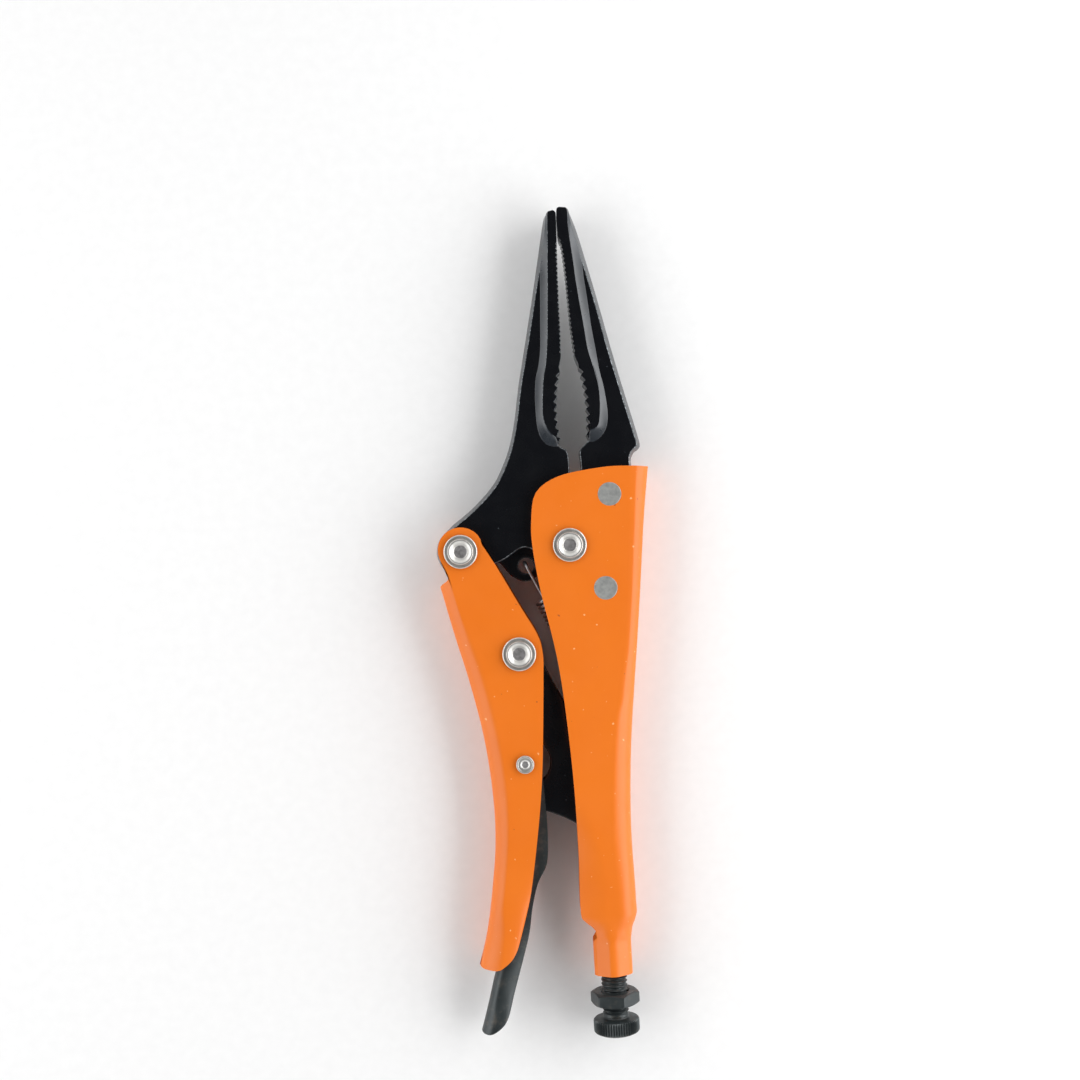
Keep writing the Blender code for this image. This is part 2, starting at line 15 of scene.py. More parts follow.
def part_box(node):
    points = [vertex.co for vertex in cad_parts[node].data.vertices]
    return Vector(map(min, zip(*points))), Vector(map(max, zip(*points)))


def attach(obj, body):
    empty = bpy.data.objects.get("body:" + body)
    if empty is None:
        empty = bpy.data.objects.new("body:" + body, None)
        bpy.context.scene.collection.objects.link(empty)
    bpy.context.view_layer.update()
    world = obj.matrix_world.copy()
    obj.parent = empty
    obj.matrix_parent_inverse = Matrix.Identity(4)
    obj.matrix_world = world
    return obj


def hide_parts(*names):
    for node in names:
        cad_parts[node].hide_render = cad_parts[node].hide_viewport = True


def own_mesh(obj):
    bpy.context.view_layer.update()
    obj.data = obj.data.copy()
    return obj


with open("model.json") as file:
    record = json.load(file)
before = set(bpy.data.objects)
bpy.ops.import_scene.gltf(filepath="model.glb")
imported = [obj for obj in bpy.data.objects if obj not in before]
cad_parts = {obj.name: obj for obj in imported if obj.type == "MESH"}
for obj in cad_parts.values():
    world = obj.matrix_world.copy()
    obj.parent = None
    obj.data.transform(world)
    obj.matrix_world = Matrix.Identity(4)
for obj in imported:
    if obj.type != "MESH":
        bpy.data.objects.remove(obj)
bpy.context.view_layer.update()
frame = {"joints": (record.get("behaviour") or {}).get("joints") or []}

JOINTS = {joint["name"]: joint for joint in frame["joints"]}
JAW_PIVOT = Vector(JOINTS["jaw_hinge"]["pos_m"])
TOOL = Matrix.Translation(JAW_PIVOT) @ Matrix.Scale(0.001, 4)


def tool_point(joint):
    """A joint's place in the plane of the tool, in millimetres from the jaw pivot."""
    offset = (Vector(JOINTS[joint]["pos_m"]) - JAW_PIVOT) * 1000
    return (offset.x, offset.y)


def node_centre(name):
    """The middle of a node's box in the plane of the tool, in millimetres from the jaw pivot."""
    low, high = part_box(name)
    offset = ((Vector(low) + Vector(high)) / 2 - JAW_PIVOT) * 1000
    return (offset.x, offset.y)


LEVER_PIVOT = tool_point("lever_hinge")
LINK_PIVOT = tool_point("link_hinge")
RELEASE_PIVOT = tool_point("release_hinge")
SCREW_X = tool_point("screw_turn")[0]
FIXED_RIVETS = {place: node_centre("fixed_jaw_rivet_" + place) for place in ("front", "rear")}
LINK_NOSE = (SCREW_X, -81.5)

LEVER_BOSS = 6.75
LEVER_BOSS_RISE = 0.5

# The holes that the return spring's two ends hook into.
TAB_HOLE = (-13.3, -5.5)
TONGUE_HOLE = (10.2, -53.5)

# Half thicknesses, from the middle plane, and the two sheets that are folded.
WALL_HALF = 6.3
JAW_HALF = 4.0
PAD_HALF = 5.0
TAB_HALF = 1.5
TONGUE_HALF = 0.8
LINK_HALF = 2.5
RELEASE_HALF = 4.0
SHEET = 2.0
RELEASE_SHEET = 1.2

# How wide the edges of each kind of piece are rounded.
SHELL_EDGE = 0.42
RELEASE_EDGE = 0.28
WEB_EDGE = 0.22
PAD_EDGE = 0.13
PLATE_EDGE = 0.35


# ---------------------------------------------------------------- curves and profiles

VALLEY_SHARE = 0.1


def mix(a, b, t):
    return a + (b - a) * t


def smooth(low, high, value):
    """Eases from 0 at low to 1 at high."""
    t = min(max((value - low) / (high - low), 0.0), 1.0)
    return t * t * (3 - 2 * t)


def curve(table, value):
    """Reads a smooth value between rows of (place, value), in rising order of place."""
    if value <= table[0][0]:
        return table[0][1]
    for (x0, y0), (x1, y1) in zip(table, table[1:]):
        if value <= x1:
            return mix(y0, y1, smooth(x0, x1, value))
    return table[-1][1]


def arc(centre, radius, start, end, steps):
    """Points on a circle from one angle to another, in degrees, both ends included."""
    angles = [math.radians(start + (end - start) * i / steps) for i in range(steps + 1)]
    return [(centre[0] + radius * math.cos(a), centre[1] + radius * math.sin(a)) for a in angles]


def through(points, spans=8):
    """A smooth curve through a few points (Catmull-Rom), with the ends included."""
    ends = [points[0], *points, points[-1]]
    made = []
    for a, b, c, d in zip(ends, ends[1:], ends[2:], ends[3:]):
        a, b, c, d = Vector(a), Vector(b), Vector(c), Vector(d)
        for i in range(spans):
            t = i / spans
            made.append(
                b + (c - a) * 0.5 * t
                + (a - b * 2.5 + c * 2.0 - d * 0.5) * t * t
                + (b * 1.5 - c * 1.5 + (d - a) * 0.5) * t * t * t
            )
    made.append(Vector(points[-1]))
    return [tuple(p) for p in made]


def lengths(points):
    """The distance along a line of points to each of them."""
    total = [0.0]
    for a, b in zip(points, points[1:]):
        total.append(total[-1] + (Vector(b) - Vector(a)).length)
    return total


def at_length(points, total, distance):
    """The point at a distance along a line of points."""
    distance = min(max(distance, 0.0), total[-1])
    for i in range(len(points) - 1):
        if distance <= total[i + 1]:
            share = (distance - total[i]) / max(total[i + 1] - total[i], 1e-9)
            return Vector(points[i]).lerp(Vector(points[i + 1]), share)
    return Vector(points[-1])


def resampled(points, count):
    """The same line with evenly spaced points."""
    total = lengths(points)
    return [at_length(points, total, total[-1] * i / (count - 1)) for i in range(count)]


def teeth(tips, depth, lean=0.38, blunt=0.12):
    """Saw teeth through a row of tips, with each valley to the left of the row by a depth.

    As shares of the pitch, lean is where a valley starts and blunt is the width of a tip.
    """
    made = []
    for a, b in zip(tips, tips[1:]):
        a, b = Vector(a), Vector(b)
        along = (b - a).normalized()
        side = Vector((-along.y, along.x))
        made.append(tuple(a.lerp(b, blunt)))
        made.append(tuple(a.lerp(b, lean) + side * depth))
        made.append(tuple(a.lerp(b, lean + VALLEY_SHARE) + side * depth))
    made.append(tuple(tips[-1]))
    return made


# ---------------------------------------------------------------- materials


def node(tree, kind, x, y, **settings):
    made = tree.nodes.new(kind)
    made.location = (x, y)
    for name, value in settings.items():
        setattr(made, name, value)
    return made


def noise(tree, source, scale, detail, roughness, y=0):
    made = node(tree, "ShaderNodeTexNoise", -700, y)
    made.inputs["Scale"].default_value = scale
    made.inputs["Detail"].default_value = detail
    made.inputs["Roughness"].default_value = roughness
    tree.links.new(source, made.inputs["Vector"])
    return made.outputs["Fac"]


def ramp(tree, source, stops, y=0):
    """A ramp with (place, grey) stops."""
    made = node(tree, "ShaderNodeValToRGB", -450, y)
    elements = made.color_ramp.elements
    while len(elements) < len(stops):
        elements.new(0.5)
    for element, (place, value) in zip(elements, stops):
        element.position = place
        element.color = (value, value, value, 1)
    tree.links.new(source, made.inputs["Fac"])
    return made.outputs["Color"]


def bump(tree, source, distance, strength, y=-300):
    made = node(tree, "ShaderNodeBump", -220, y)
    made.inputs["Distance"].default_value = distance
    made.inputs["Strength"].default_value = strength
    tree.links.new(source, made.inputs["Height"])
    return made.outputs["Normal"]


def blend_colour(tree, factor, a, b, x=-220, y=260):
    """Mixes two colours, each a colour value or a socket, by a factor socket."""
    made = node(tree, "ShaderNodeMix", x, y, data_type="RGBA")
    tree.links.new(factor, made.inputs["Factor"])
    for socket, value in (("A", a), ("B", b)):
        target = next(s for s in made.inputs if s.name == socket and s.type == "RGBA")
        if isinstance(value, tuple):
            target.default_value = (*value, 1)
        else:
            tree.links.new(value, target)
    return next(s for s in made.outputs if s.type == "RGBA")


def material(name, **inputs):
    """A Principled material whose uniform values are set on the shader's own sockets."""
    made = bpy.data.materials.new(name)
    made.use_nodes = True
    tree = made.node_tree
    shader = tree.nodes["Principled BSDF"]
    for socket, value in inputs.items():
        shader.inputs[socket.replace("_", " ")].default_value = value
    place = node(tree, "ShaderNodeTexCoord", -950, 0).outputs["Object"]
    return made, tree, shader, place


def orange_enamel():
    """Semi-gloss powder coat: faint orange peel, slow colour drift and a few dust specks."""
    made, tree, shader, place = material(
        "orange_powder_coat", Metallic=0.0, Coat_Weight=0.12, Coat_Roughness=0.3, IOR=1.4
    )
    drift = ramp(tree, noise(tree, place, 55, 3, 0.55, 300), [(0.3, 0.0), (0.7, 1.0)], y=300)
    base = blend_colour(tree, drift, (0.765, 0.166, 0.009), (0.795, 0.181, 0.012), y=300)
    pale = ramp(tree, noise(tree, place, 620, 1.5, 0.5, 60), [(0.735, 0.0), (0.77, 1.0)], y=60)
    dark = ramp(tree, noise(tree, place, 480, 1.0, 0.5, -160), [(0.785, 0.0), (0.81, 1.0)], y=-160)
    with_pale = blend_colour(tree, pale, base, (0.90, 0.42, 0.17), x=0)
    with_dark = blend_colour(tree, dark, with_pale, (0.45, 0.10, 0.02), x=150, y=200)
    tree.links.new(with_dark, shader.inputs["Base Color"])
    rough = ramp(tree, noise(tree, place, 140, 2, 0.5, -420), [(0.3, 0.40), (0.7, 0.47)], y=-420)
    tree.links.new(rough, shader.inputs["Roughness"])
    peel = bump(tree, noise(tree, place, 900, 2, 0.5, -640), 0.00004, 0.35, y=-640)
    tree.links.new(peel, shader.inputs["Normal"])
    return made


def black_enamel():
    """Deep black with an uneven gloss and tiny pale scuffs."""
    made, tree, shader, place = material(
        "black_jaw_coat", Metallic=0.0, Coat_Weight=0.2, Coat_Roughness=0.1, IOR=1.45
    )
    scuffs = ramp(tree, noise(tree, place, 520, 2, 0.6, 260), [(0.74, 0.0), (0.80, 1.0)], y=260)
    base = blend_colour(tree, scuffs, (0.0035, 0.004, 0.0055), (0.055, 0.065, 0.075))
    tree.links.new(base, shader.inputs["Base Color"])
    rough = ramp(tree, noise(tree, place, 160, 3, 0.6, 0), [(0.25, 0.22), (0.75, 0.32)])
    tree.links.new(rough, shader.inputs["Roughness"])
    grain = bump(tree, noise(tree, place, 700, 3, 0.6, -300), 0.00005, 0.3)
    tree.links.new(grain, shader.inputs["Normal"])
    return made


def drafted_black_painted_sheen():
    """The sloped sides of the forgings: the jaws' black, painted lighter and bluer as sheen where these
    sides face the lights, and slightly metallic.
    """
    made, tree, shader, place = material(
        "drafted_black_painted_sheen", Coat_Weight=0.35, Coat_Roughness=0.2, IOR=1.55
    )
    patch = ramp(tree, noise(tree, place, 160, 3, 0.6, 260), [(0.3, 0.0), (0.7, 1.0)], y=260)
    # Lighter than the flat faces' black: painted sheen.
    base = blend_colour(tree, patch, (0.017, 0.021, 0.027), (0.028, 0.034, 0.042))
    tree.links.new(base, shader.inputs["Base Color"])
    metal = ramp(tree, noise(tree, place, 240, 3, 0.6, 40), [(0.3, 0.10), (0.7, 0.18)], y=40)
    tree.links.new(metal, shader.inputs["Metallic"])
    rough = ramp(tree, noise(tree, place, 300, 3, 0.6, -180), [(0.3, 0.26), (0.7, 0.36)], y=-180)
    tree.links.new(rough, shader.inputs["Roughness"])
    grain = bump(tree, noise(tree, place, 700, 3, 0.6, -420), 0.00004, 0.3)
    tree.links.new(grain, shader.inputs["Normal"])
    return made


def edge_wear_and_painted_highlight():
    """Edges of the forgings: grey specks, partly rubbed-down bare steel and partly painted highlight
    where the edges catch the light.
    """
    made, tree, shader, place = material("edge_wear_and_painted_highlight", Coat_Weight=0.2, Coat_Roughness=0.2, IOR=1.5)
    # Grey specks on the edges: partly bare steel, partly painted highlight.
    wear_and_highlight = ramp(tree, noise(tree, place, 1500, 3, 0.7, 260), [(0.47, 0.0), (0.62, 1.0)], y=260)
    base = blend_colour(tree, wear_and_highlight, (0.035, 0.042, 0.048), (0.30, 0.33, 0.35))
    tree.links.new(base, shader.inputs["Base Color"])
    metal = ramp(tree, noise(tree, place, 1500, 3, 0.7, 40), [(0.47, 0.1), (0.62, 0.5)], y=40)
    tree.links.new(metal, shader.inputs["Metallic"])
    rough = ramp(tree, noise(tree, place, 500, 3, 0.6, -180), [(0.3, 0.30), (0.7, 0.46)], y=-180)
    tree.links.new(rough, shader.inputs["Roughness"])
    grain = bump(tree, noise(tree, place, 1100, 3, 0.6, -420), 0.00006, 0.5)
    tree.links.new(grain, shader.inputs["Normal"])
    return made


def plated_steel(name, light, dark, roughness, metallic, scale=420.0, depth=0.00003):
    """Metal with a fine mottled finish between two greys and two roughnesses."""
    made, tree, shader, place = material(name, Metallic=metallic)
    patch = ramp(tree, noise(tree, place, scale, 4, 0.6, 200), [(0.3, 0.0), (0.7, 1.0)], y=200)
    tree.links.new(blend_colour(tree, patch, dark, light, y=200), shader.inputs["Base Color"])
    smooth_grey, rough_grey = roughness
    rough = noise(tree, place, scale * 0.6, 3, 0.6, -60)
    rough = ramp(tree, rough, [(0.3, smooth_grey), (0.7, rough_grey)], y=-60)
    tree.links.new(rough, shader.inputs["Roughness"])
    grain = bump(tree, noise(tree, place, scale * 3, 3, 0.6, -320), depth, 0.5)
    tree.links.new(grain, shader.inputs["Normal"])
    return made


def black_oxide():
    """Satin black oxide: near black with a cool sheen, a little browner where it is rubbed."""
    made, tree, shader, place = material(
        "black_oxide", Coat_Weight=0.15, Coat_Roughness=0.35, IOR=1.6
    )
    rub = ramp(tree, noise(tree, place, 380, 4, 0.65, 260), [(0.55, 0.0), (0.78, 1.0)], y=260)
    base = blend_colour(tree, rub, (0.028, 0.036, 0.038), (0.085, 0.078, 0.066))
    tree.links.new(base, shader.inputs["Base Color"])
    metal = ramp(tree, noise(tree, place, 90, 2, 0.5, 40), [(0.3, 0.35), (0.7, 0.55)], y=40)
    tree.links.new(metal, shader.inputs["Metallic"])
    rough = ramp(tree, noise(tree, place, 300, 3, 0.6, -180), [(0.3, 0.36), (0.7, 0.52)], y=-180)
    tree.links.new(rough, shader.inputs["Roughness"])
    grain = bump(tree, noise(tree, place, 1200, 3, 0.6, -420), 0.00004, 0.4)
    tree.links.new(grain, shader.inputs["Normal"])
    return made


def floor_paper():
    """Pale matt paper with a faint grain."""
    made, tree, shader, place = material("pale_floor", Roughness=0.9)
    grain = ramp(tree, noise(tree, place, 300, 2, 0.5), [(0.3, 0.86), (0.7, 0.88)])
    tree.links.new(grain, shader.inputs["Base Color"])
    return made


ORANGE = orange_enamel()
BLACK = black_enamel()
# The forgings' sloped sides: a lighter black as painted sheen.
SLOPE_SHEEN = drafted_black_painted_sheen()
# The forgings' edges: grey specks of wear and painted highlight.
EDGE_WEAR_AND_HIGHLIGHT = edge_wear_and_painted_highlight()
OXIDE = black_oxide()
ZINC = plated_steel("bright_zinc", (0.66, 0.65, 0.62), (0.50, 0.49, 0.465), (0.28, 0.42), 0.75)
WIRE = plated_steel("spring_wire", (0.40, 0.40, 0.41), (0.18, 0.18, 0.19), (0.25, 0.4), 0.9)
DULL = plated_steel(
    "dull_pressed_steel", (0.36, 0.365, 0.35), (0.25, 0.255, 0.25), (0.45, 0.6), 0.35, 700.0, 0.00006
)
CORE = plated_steel(
    "pressed_core", (0.36, 0.35, 0.35), (0.17, 0.165, 0.165), (0.35, 0.6), 0.5, 900.0, 0.0002
)
JAW_FINISH_AND_SHEEN = [BLACK, EDGE_WEAR_AND_HIGHLIGHT, SLOPE_SHEEN]


# ---------------------------------------------------------------- pieces

HOLE_STEPS = 32


def piece(name, work, materials, body, nodes, angle, edge=0.0, segments=2):
    """Makes an object from a bmesh in the tool's millimetres, with softened edges, riding on a body."""
    work.transform(TOOL)
    bmesh.ops.recalc_face_normals(work, faces=work.faces)
    mesh = bpy.data.meshes.new(name)
    work.to_mesh(mesh)
    work.free()
    for one in materials:
        mesh.materials.append(one)
    obj = bpy.data.objects.new(name, mesh)
    bpy.context.scene.collection.objects.link(obj)
    mesh.shade_smooth()
    if edge:
        soften = obj.modifiers.new("soft_edges", "BEVEL")
        soften.width = edge * 0.001
        soften.segments = segments
        soften.limit_method = "ANGLE"
        soften.angle_limit = math.radians(angle)
        normals = obj.modifiers.new("flat_faces", "WEIGHTED_NORMAL")
        normals.keep_sharp = True
    else:
        mesh.set_sharp_from_angle(angle=math.radians(angle))
    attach(obj, body)
    if nodes:
        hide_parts(*nodes)
    return obj


def ring_faces(work, rings, caps=False, material_index=0):
    """Joins rings of vertices, all of the same length, with quads, and fills the two ends for caps."""
    for a, b in zip(rings, rings[1:]):
        for i in range(len(a)):
            j = (i + 1) % len(a)
            work.faces.new((a[i], a[j], b[j], b[i])).material_index = material_index
    if caps:
        work.faces.new(list(reversed(rings[0])))
        work.faces.new(rings[-1])


def turned(profile, segments, centre):
    """A closed profile of (radius, height) points turned about a line along Z."""
    work = bmesh.new()
    rings = []
    for i in range(segments):
        angle = 2 * math.pi * i / segments
        rings.append([
            work.verts.new((centre[0] + r * math.cos(angle), centre[1] + r * math.sin(angle), height))
            for r, height in profile
        ])
    ring_faces(work, rings + [rings[0]])
    bmesh.ops.remove_doubles(work, verts=work.verts, dist=1e-4)
    return work


def lofted(wide, narrow, levels, material_index):
    """Two outlines with the same number of points, mixed at (height, share of the narrow one) levels."""
    work = bmesh.new()
    rings = []
    for height, share in levels:
        rings.append([
            work.verts.new((mix(a[0], b[0], share), mix(a[1], b[1], share), height))
            for a, b in zip(wide, narrow)
        ])
    ring_faces(work, rings, caps=True, material_index=material_index)
    return work


def flat_plate(name, outline, holes, half, edge, materials, body, nodes):
    """A flat plate with round (centre, radius) holes and rolled edges, made from a filled curve."""
    shape = bpy.data.curves.new(name, "CURVE")
    shape.dimensions = "2D"
    shape.fill_mode = "BOTH"
    shape.extrude = half - edge
    shape.bevel_depth = edge
    shape.bevel_resolution = 2
    shape.offset = -edge
    for line in [outline, *[arc(at, radius, 0, 360, HOLE_STEPS)[:-1] for at, radius in holes]]:
        spline = shape.splines.new("POLY")
        spline.points.add(len(line) - 1)
        for point, (x, y) in zip(spline.points, line):
            point.co = (x, y, 0, 1)
        spline.use_cyclic_u = True
    piece(name, bmesh_of_curve(shape), materials, body, nodes, angle=50.0)


def bmesh_of_curve(shape):
    """The evaluated mesh of a curve, as a welded bmesh, with the curve removed."""
    guide = bpy.data.objects.new(shape.name + "_guide", shape)
    bpy.context.scene.collection.objects.link(guide)
    bpy.context.view_layer.update()
    mesh = bpy.data.meshes.new_from_object(guide.evaluated_get(bpy.context.evaluated_depsgraph_get()))
    bpy.data.objects.remove(guide)
    bpy.data.curves.remove(shape)
    work = bmesh.new()
    work.from_mesh(mesh)
    bpy.data.meshes.remove(mesh)
    for face in work.faces:
        face.material_index = 0
    bmesh.ops.remove_doubles(work, verts=work.verts, dist=1e-3)
    return work


# ---------------------------------------------------------------- folded sheet handles

# Rows of points across a fold: along each wall, round each corner and down the spine.
WALL_STEPS = 18
FOLD_STEPS = 9
WEB_STEPS = 4

# Points on the line across a handle, and the power of the curve by which a wall droops.
ACROSS = 80
DROOP_POWER = 1.7
LEAST_INNER_RADIUS = 0.35

# The main handle's fold ends at the collar, a tube with pressed flats whose seam faces the lever.
FOLD_END = -107.0
FOLD_END_RADIUS = 5.5
COLLAR_END = -128.6
COLLAR_RADIUS = 6.1
COLLAR_BORE = 4.2
COLLAR_FLATS = [math.radians(a) for a in (1, 59, 121, 181, 239, 301)]
COLLAR_NARROWING = 0.1
COLLAR_FINE_END = -121.0
COLLAR_STEPS = (0.6, 1.1)

# How far the main handle's lower walls droop, on the handle and on the collar, and the share of
# their width that stays level.
MAIN_DROOP = 1.5
COLLAR_DROOP = 3.0
LEVEL_SHARE = 0.25

# Distances below the jaw pivot between which the fold closes to a tube and the flats are pressed in,
# and the flats' distances from the axis at both.
CLOSING = (110.5, 118.0)
PRESSING = (115.0, 119.0)
FLAT_DISTANCES = (6.35, 5.68)

# (place, value) rows along the collar: its two sides, and how far round the screw each edge of its
# sheet reaches, in degrees.
COLLAR_RIGHT = [
    (-119.5, 12.1), (-117.7, 12.2), (-115.8, 12.8), (-112.6, 13.6), (-110.0, 13.9), (FOLD_END, 13.8),
]
COLLAR_LEFT = [
    (-115.0, 0.2), (-113.9, -0.8), (-112.6, -2.0), (-110.9, -2.8), (-109.5, -3.0), (FOLD_END, -3.0),
]
COLLAR_REACH = [(-120.0, 177.0), (-119.4, 172.0), (-118.4, 156.0), (-117.2, 138.0), (-112.0, 134.0)]


def fold_profile(width, radius, half, sheet, droop, flat=0.0, crease=0.0):
    """Outer and inner (distance from spine, height) rows of a folded sheet, from the upper open edge.

    The wall stays level for the flat share of its width and then droops to its open edge. The crease
    is the angle, in radians, at which the fold starts.
    """
    outer, inner = [], []
    inner_radius = max(radius - sheet, LEAST_INNER_RADIUS)
    for j in range(WALL_STEPS):
        place = mix(width, radius, j / WALL_STEPS)
        share = (place - radius) / max(width - radius, 1e-6)
        fall = droop * (max(share - flat, 0.0) / (1 - flat)) ** DROOP_POWER
        outer.append((place, half - fall))
        inner.append((place, half - sheet - fall))
    for j in range(FOLD_STEPS + 1):
        angle = math.pi / 2 * j / FOLD_STEPS
        turn = mix(crease, math.pi / 2, j / FOLD_STEPS)
        outer.append((
            radius * (1 - math.sin(turn)) / (1 - math.sin(crease)),
            half - radius * (1 - math.cos(turn) / math.cos(crease)),
        ))
        inner.append((
            max(radius - inner_radius * math.sin(angle), sheet),
            min(half - radius + inner_radius * math.cos(angle), half - sheet),
        ))
    for j in range(1, WEB_STEPS):
        share = 1 - 2 * j / WEB_STEPS
        outer.append((0.0, (half - radius) * share))
        inner.append((sheet, min(half - radius, half - sheet) * share))
    top = WALL_STEPS + FOLD_STEPS + 1
    outer += [(q, -z) for q, z in reversed(outer[:top])]
    inner += [(q, -z) for q, z in reversed(inner[:top])]
    return outer, inner


class Fold:
    """A folded handle: a spine line and an open edge, both from the top down, and a line for each end.

    An end's own line, or None, fades into the straight one over a length. shape(y) gives what
    fold_profile takes after the width.
    """

    def __init__(self, spine, open_edge, top, bottom, fades, shape):
        self.spine, self.open_edge, self.shape = spine, open_edge, shape
        self.spine_total, self.open_total = lengths(spine), lengths(open_edge)
        self.ends = []
        for line, fade in zip((top, bottom), fades):
            self.ends.append((resampled(line, ACROSS), fade) if line else None)

    def path(self, t):
        """The line across the handle at a share of its length, from the spine to the open edge."""
        a = at_length(self.spine, self.spine_total, t * self.spine_total[-1])
        b = at_length(self.open_edge, self.open_total, t * self.open_total[-1])
        shares = [i / (ACROSS - 1) for i in range(ACROSS)]
        line = [a.lerp(b, across) for across in shares]
        for end, away in zip(self.ends, (t, 1 - t)):
            if end is None:
                continue
            points, fade = end
            share = 1 - smooth(0, fade, away * self.spine_total[-1])
            if share > 0:
                line = [
                    p + (end_point - points[0].lerp(points[-1], across)) * share
                    for p, end_point, across in zip(line, points, shares)
                ]
        return line

    def section(self, t):
        """The outer and inner rows of points across the handle at a share of its length."""
        line = self.path(t)
        total = lengths(line)
        outer, inner = fold_profile(total[-1], *self.shape(line[0].y))
        made = []
        for rows in (outer, inner):
            made.append([Vector((*at_length(line, total, q), z)) for q, z in rows])
        return made

    def sections(self, steps):
        """Evenly spaced sections from the top to the bottom."""
        return [self.section(i / steps) for i in range(steps + 1)]


def sheet_mesh(sections):
    """Closes a run of (outer row, inner row) sections into one folded sheet."""
    work = bmesh.new()
    rings = []
    for outer, inner in sections:
        rings.append([work.verts.new(p) for p in outer + inner[::-1]])
    ring_faces(work, rings)
    half = len(rings[0]) // 2
    for ring, turn in ((rings[0], 1), (rings[-1], -1)):
        for i in range(half - 1):
            face = (ring[i], ring[2 * half - 1 - i], ring[2 * half - 2 - i], ring[i + 1])
            work.faces.new(face[::turn])
    return work


def collar_radius(angle, flat):
    """The collar's outer radius in a direction: round, with pressed flats at a distance from the axis."""
    radius = COLLAR_RADIUS
    for normal in COLLAR_FLATS:
        facing = math.cos(angle - normal)
        if facing > 0.5:
            radius = min(radius, flat / facing)
    return radius


def collar_section(y):
    """The outer and inner rows at a place on the collar, where the fold closes round the screw."""
    share = smooth(*CLOSING, -y)
    right, left = curve(COLLAR_RIGHT, y), curve(COLLAR_LEFT, y)
    half = WALL_HALF - COLLAR_NARROWING * share
    droop = mix(MAIN_DROOP, COLLAR_DROOP, share)
    outer, inner = fold_profile(right - left, FOLD_END_RADIUS, half, SHEET, droop, LEVEL_SHARE)
    flat = mix(*FLAT_DISTANCES, smooth(*PRESSING, -y))
    reach = curve(COLLAR_REACH, y)
    section = []
    for rows, outside in ((outer, True), (inner, False)):
        total = lengths(rows)
        ring = []
        for (q, z), along in zip(rows, total):
            angle = math.radians(reach - 2 * reach * along / total[-1])
            r = collar_radius(angle, flat) if outside else COLLAR_BORE
            tube = Vector((SCREW_X + r * math.cos(angle), y, r * math.sin(angle)))
            ring.append(Vector((right - q, y, z)).lerp(tube, share))
        section.append(ring)
    return section


def make_main_handle():
    """The orange fold from the jaw end down to the collar, in one sheet with it."""
    spine = through([
        (24.7, 22.0), (22.5, 6.2), (19.9, -17.7), (16.4, -47.6), (14.6, -65.5), (13.6, -85.0),
        (13.8, -102.0), (13.8, FOLD_END),
    ])
    open_edge = through([
        (-10.8, 10.0), (-11.2, 2.0), (-9.6, -12.0), (-5.3, -36.0), (-3.1, -65.0), (-2.6, -90.0),
        (-2.9, -102.0), (-3.0, FOLD_END),
    ])
    top = through([
        (24.7, 22.0), (19.5, 22.4), (13.4, 22.6), (8.0, 22.2), (3.0, 21.6), (-1.5, 20.7),
        (-5.5, 19.1), (-7.7, 17.6), (-9.3, 15.8), (-10.3, 13.3), (-10.8, 10.0),
    ])
    radius = [
        (FOLD_END, FOLD_END_RADIUS), (-76, 5.2), (-52, 4.9), (-44, 3.9), (-29, 3.1), (-17, 3.1),
        (6, 3.4), (22, 3.9),
    ]
    crease = [(-104, 0), (-76, 18), (-52, 34), (-30, 42), (22, 42)]

    def shape(y):
        droop = MAIN_DROOP * smooth(68, 92, -y)
        flat = mix(0.7, LEVEL_SHARE, smooth(70, 100, -y))
        return curve(radius, y), WALL_HALF, SHEET, droop, flat, math.radians(curve(crease, y))

    sections = Fold(spine, open_edge, top, None, (20.0, 0.0), shape).sections(76)
    y = FOLD_END
    fine, coarse = COLLAR_STEPS
    while y > COLLAR_END + 1e-6:
        y = max(y - (fine if y > COLLAR_FINE_END else coarse), COLLAR_END)
        sections.append(collar_section(y))
    piece(
        "main_handle_shell", sheet_mesh(sections), [ORANGE], "fixed_handle", ["main_handle"],
        edge=SHELL_EDGE, segments=3, angle=50.0,
    )


def make_tongue():
    """The tongue inside the main handle's spine that anchors the spring."""
    outline = through([(7.6, -51.2), (8.6, -50.4), (12.0, -50.3), (15.4, -50.4)], 4)
    outline += [(15.4, -56.8)] + through([(12.0, -56.9), (8.6, -56.8), (7.6, -56.0)], 4)
    flat_plate(
        "spring_tongue", outline, [(TONGUE_HOLE, 1.7)], TONGUE_HALF, 0.25, [ORANGE],
        "fixed_handle", [],
    )


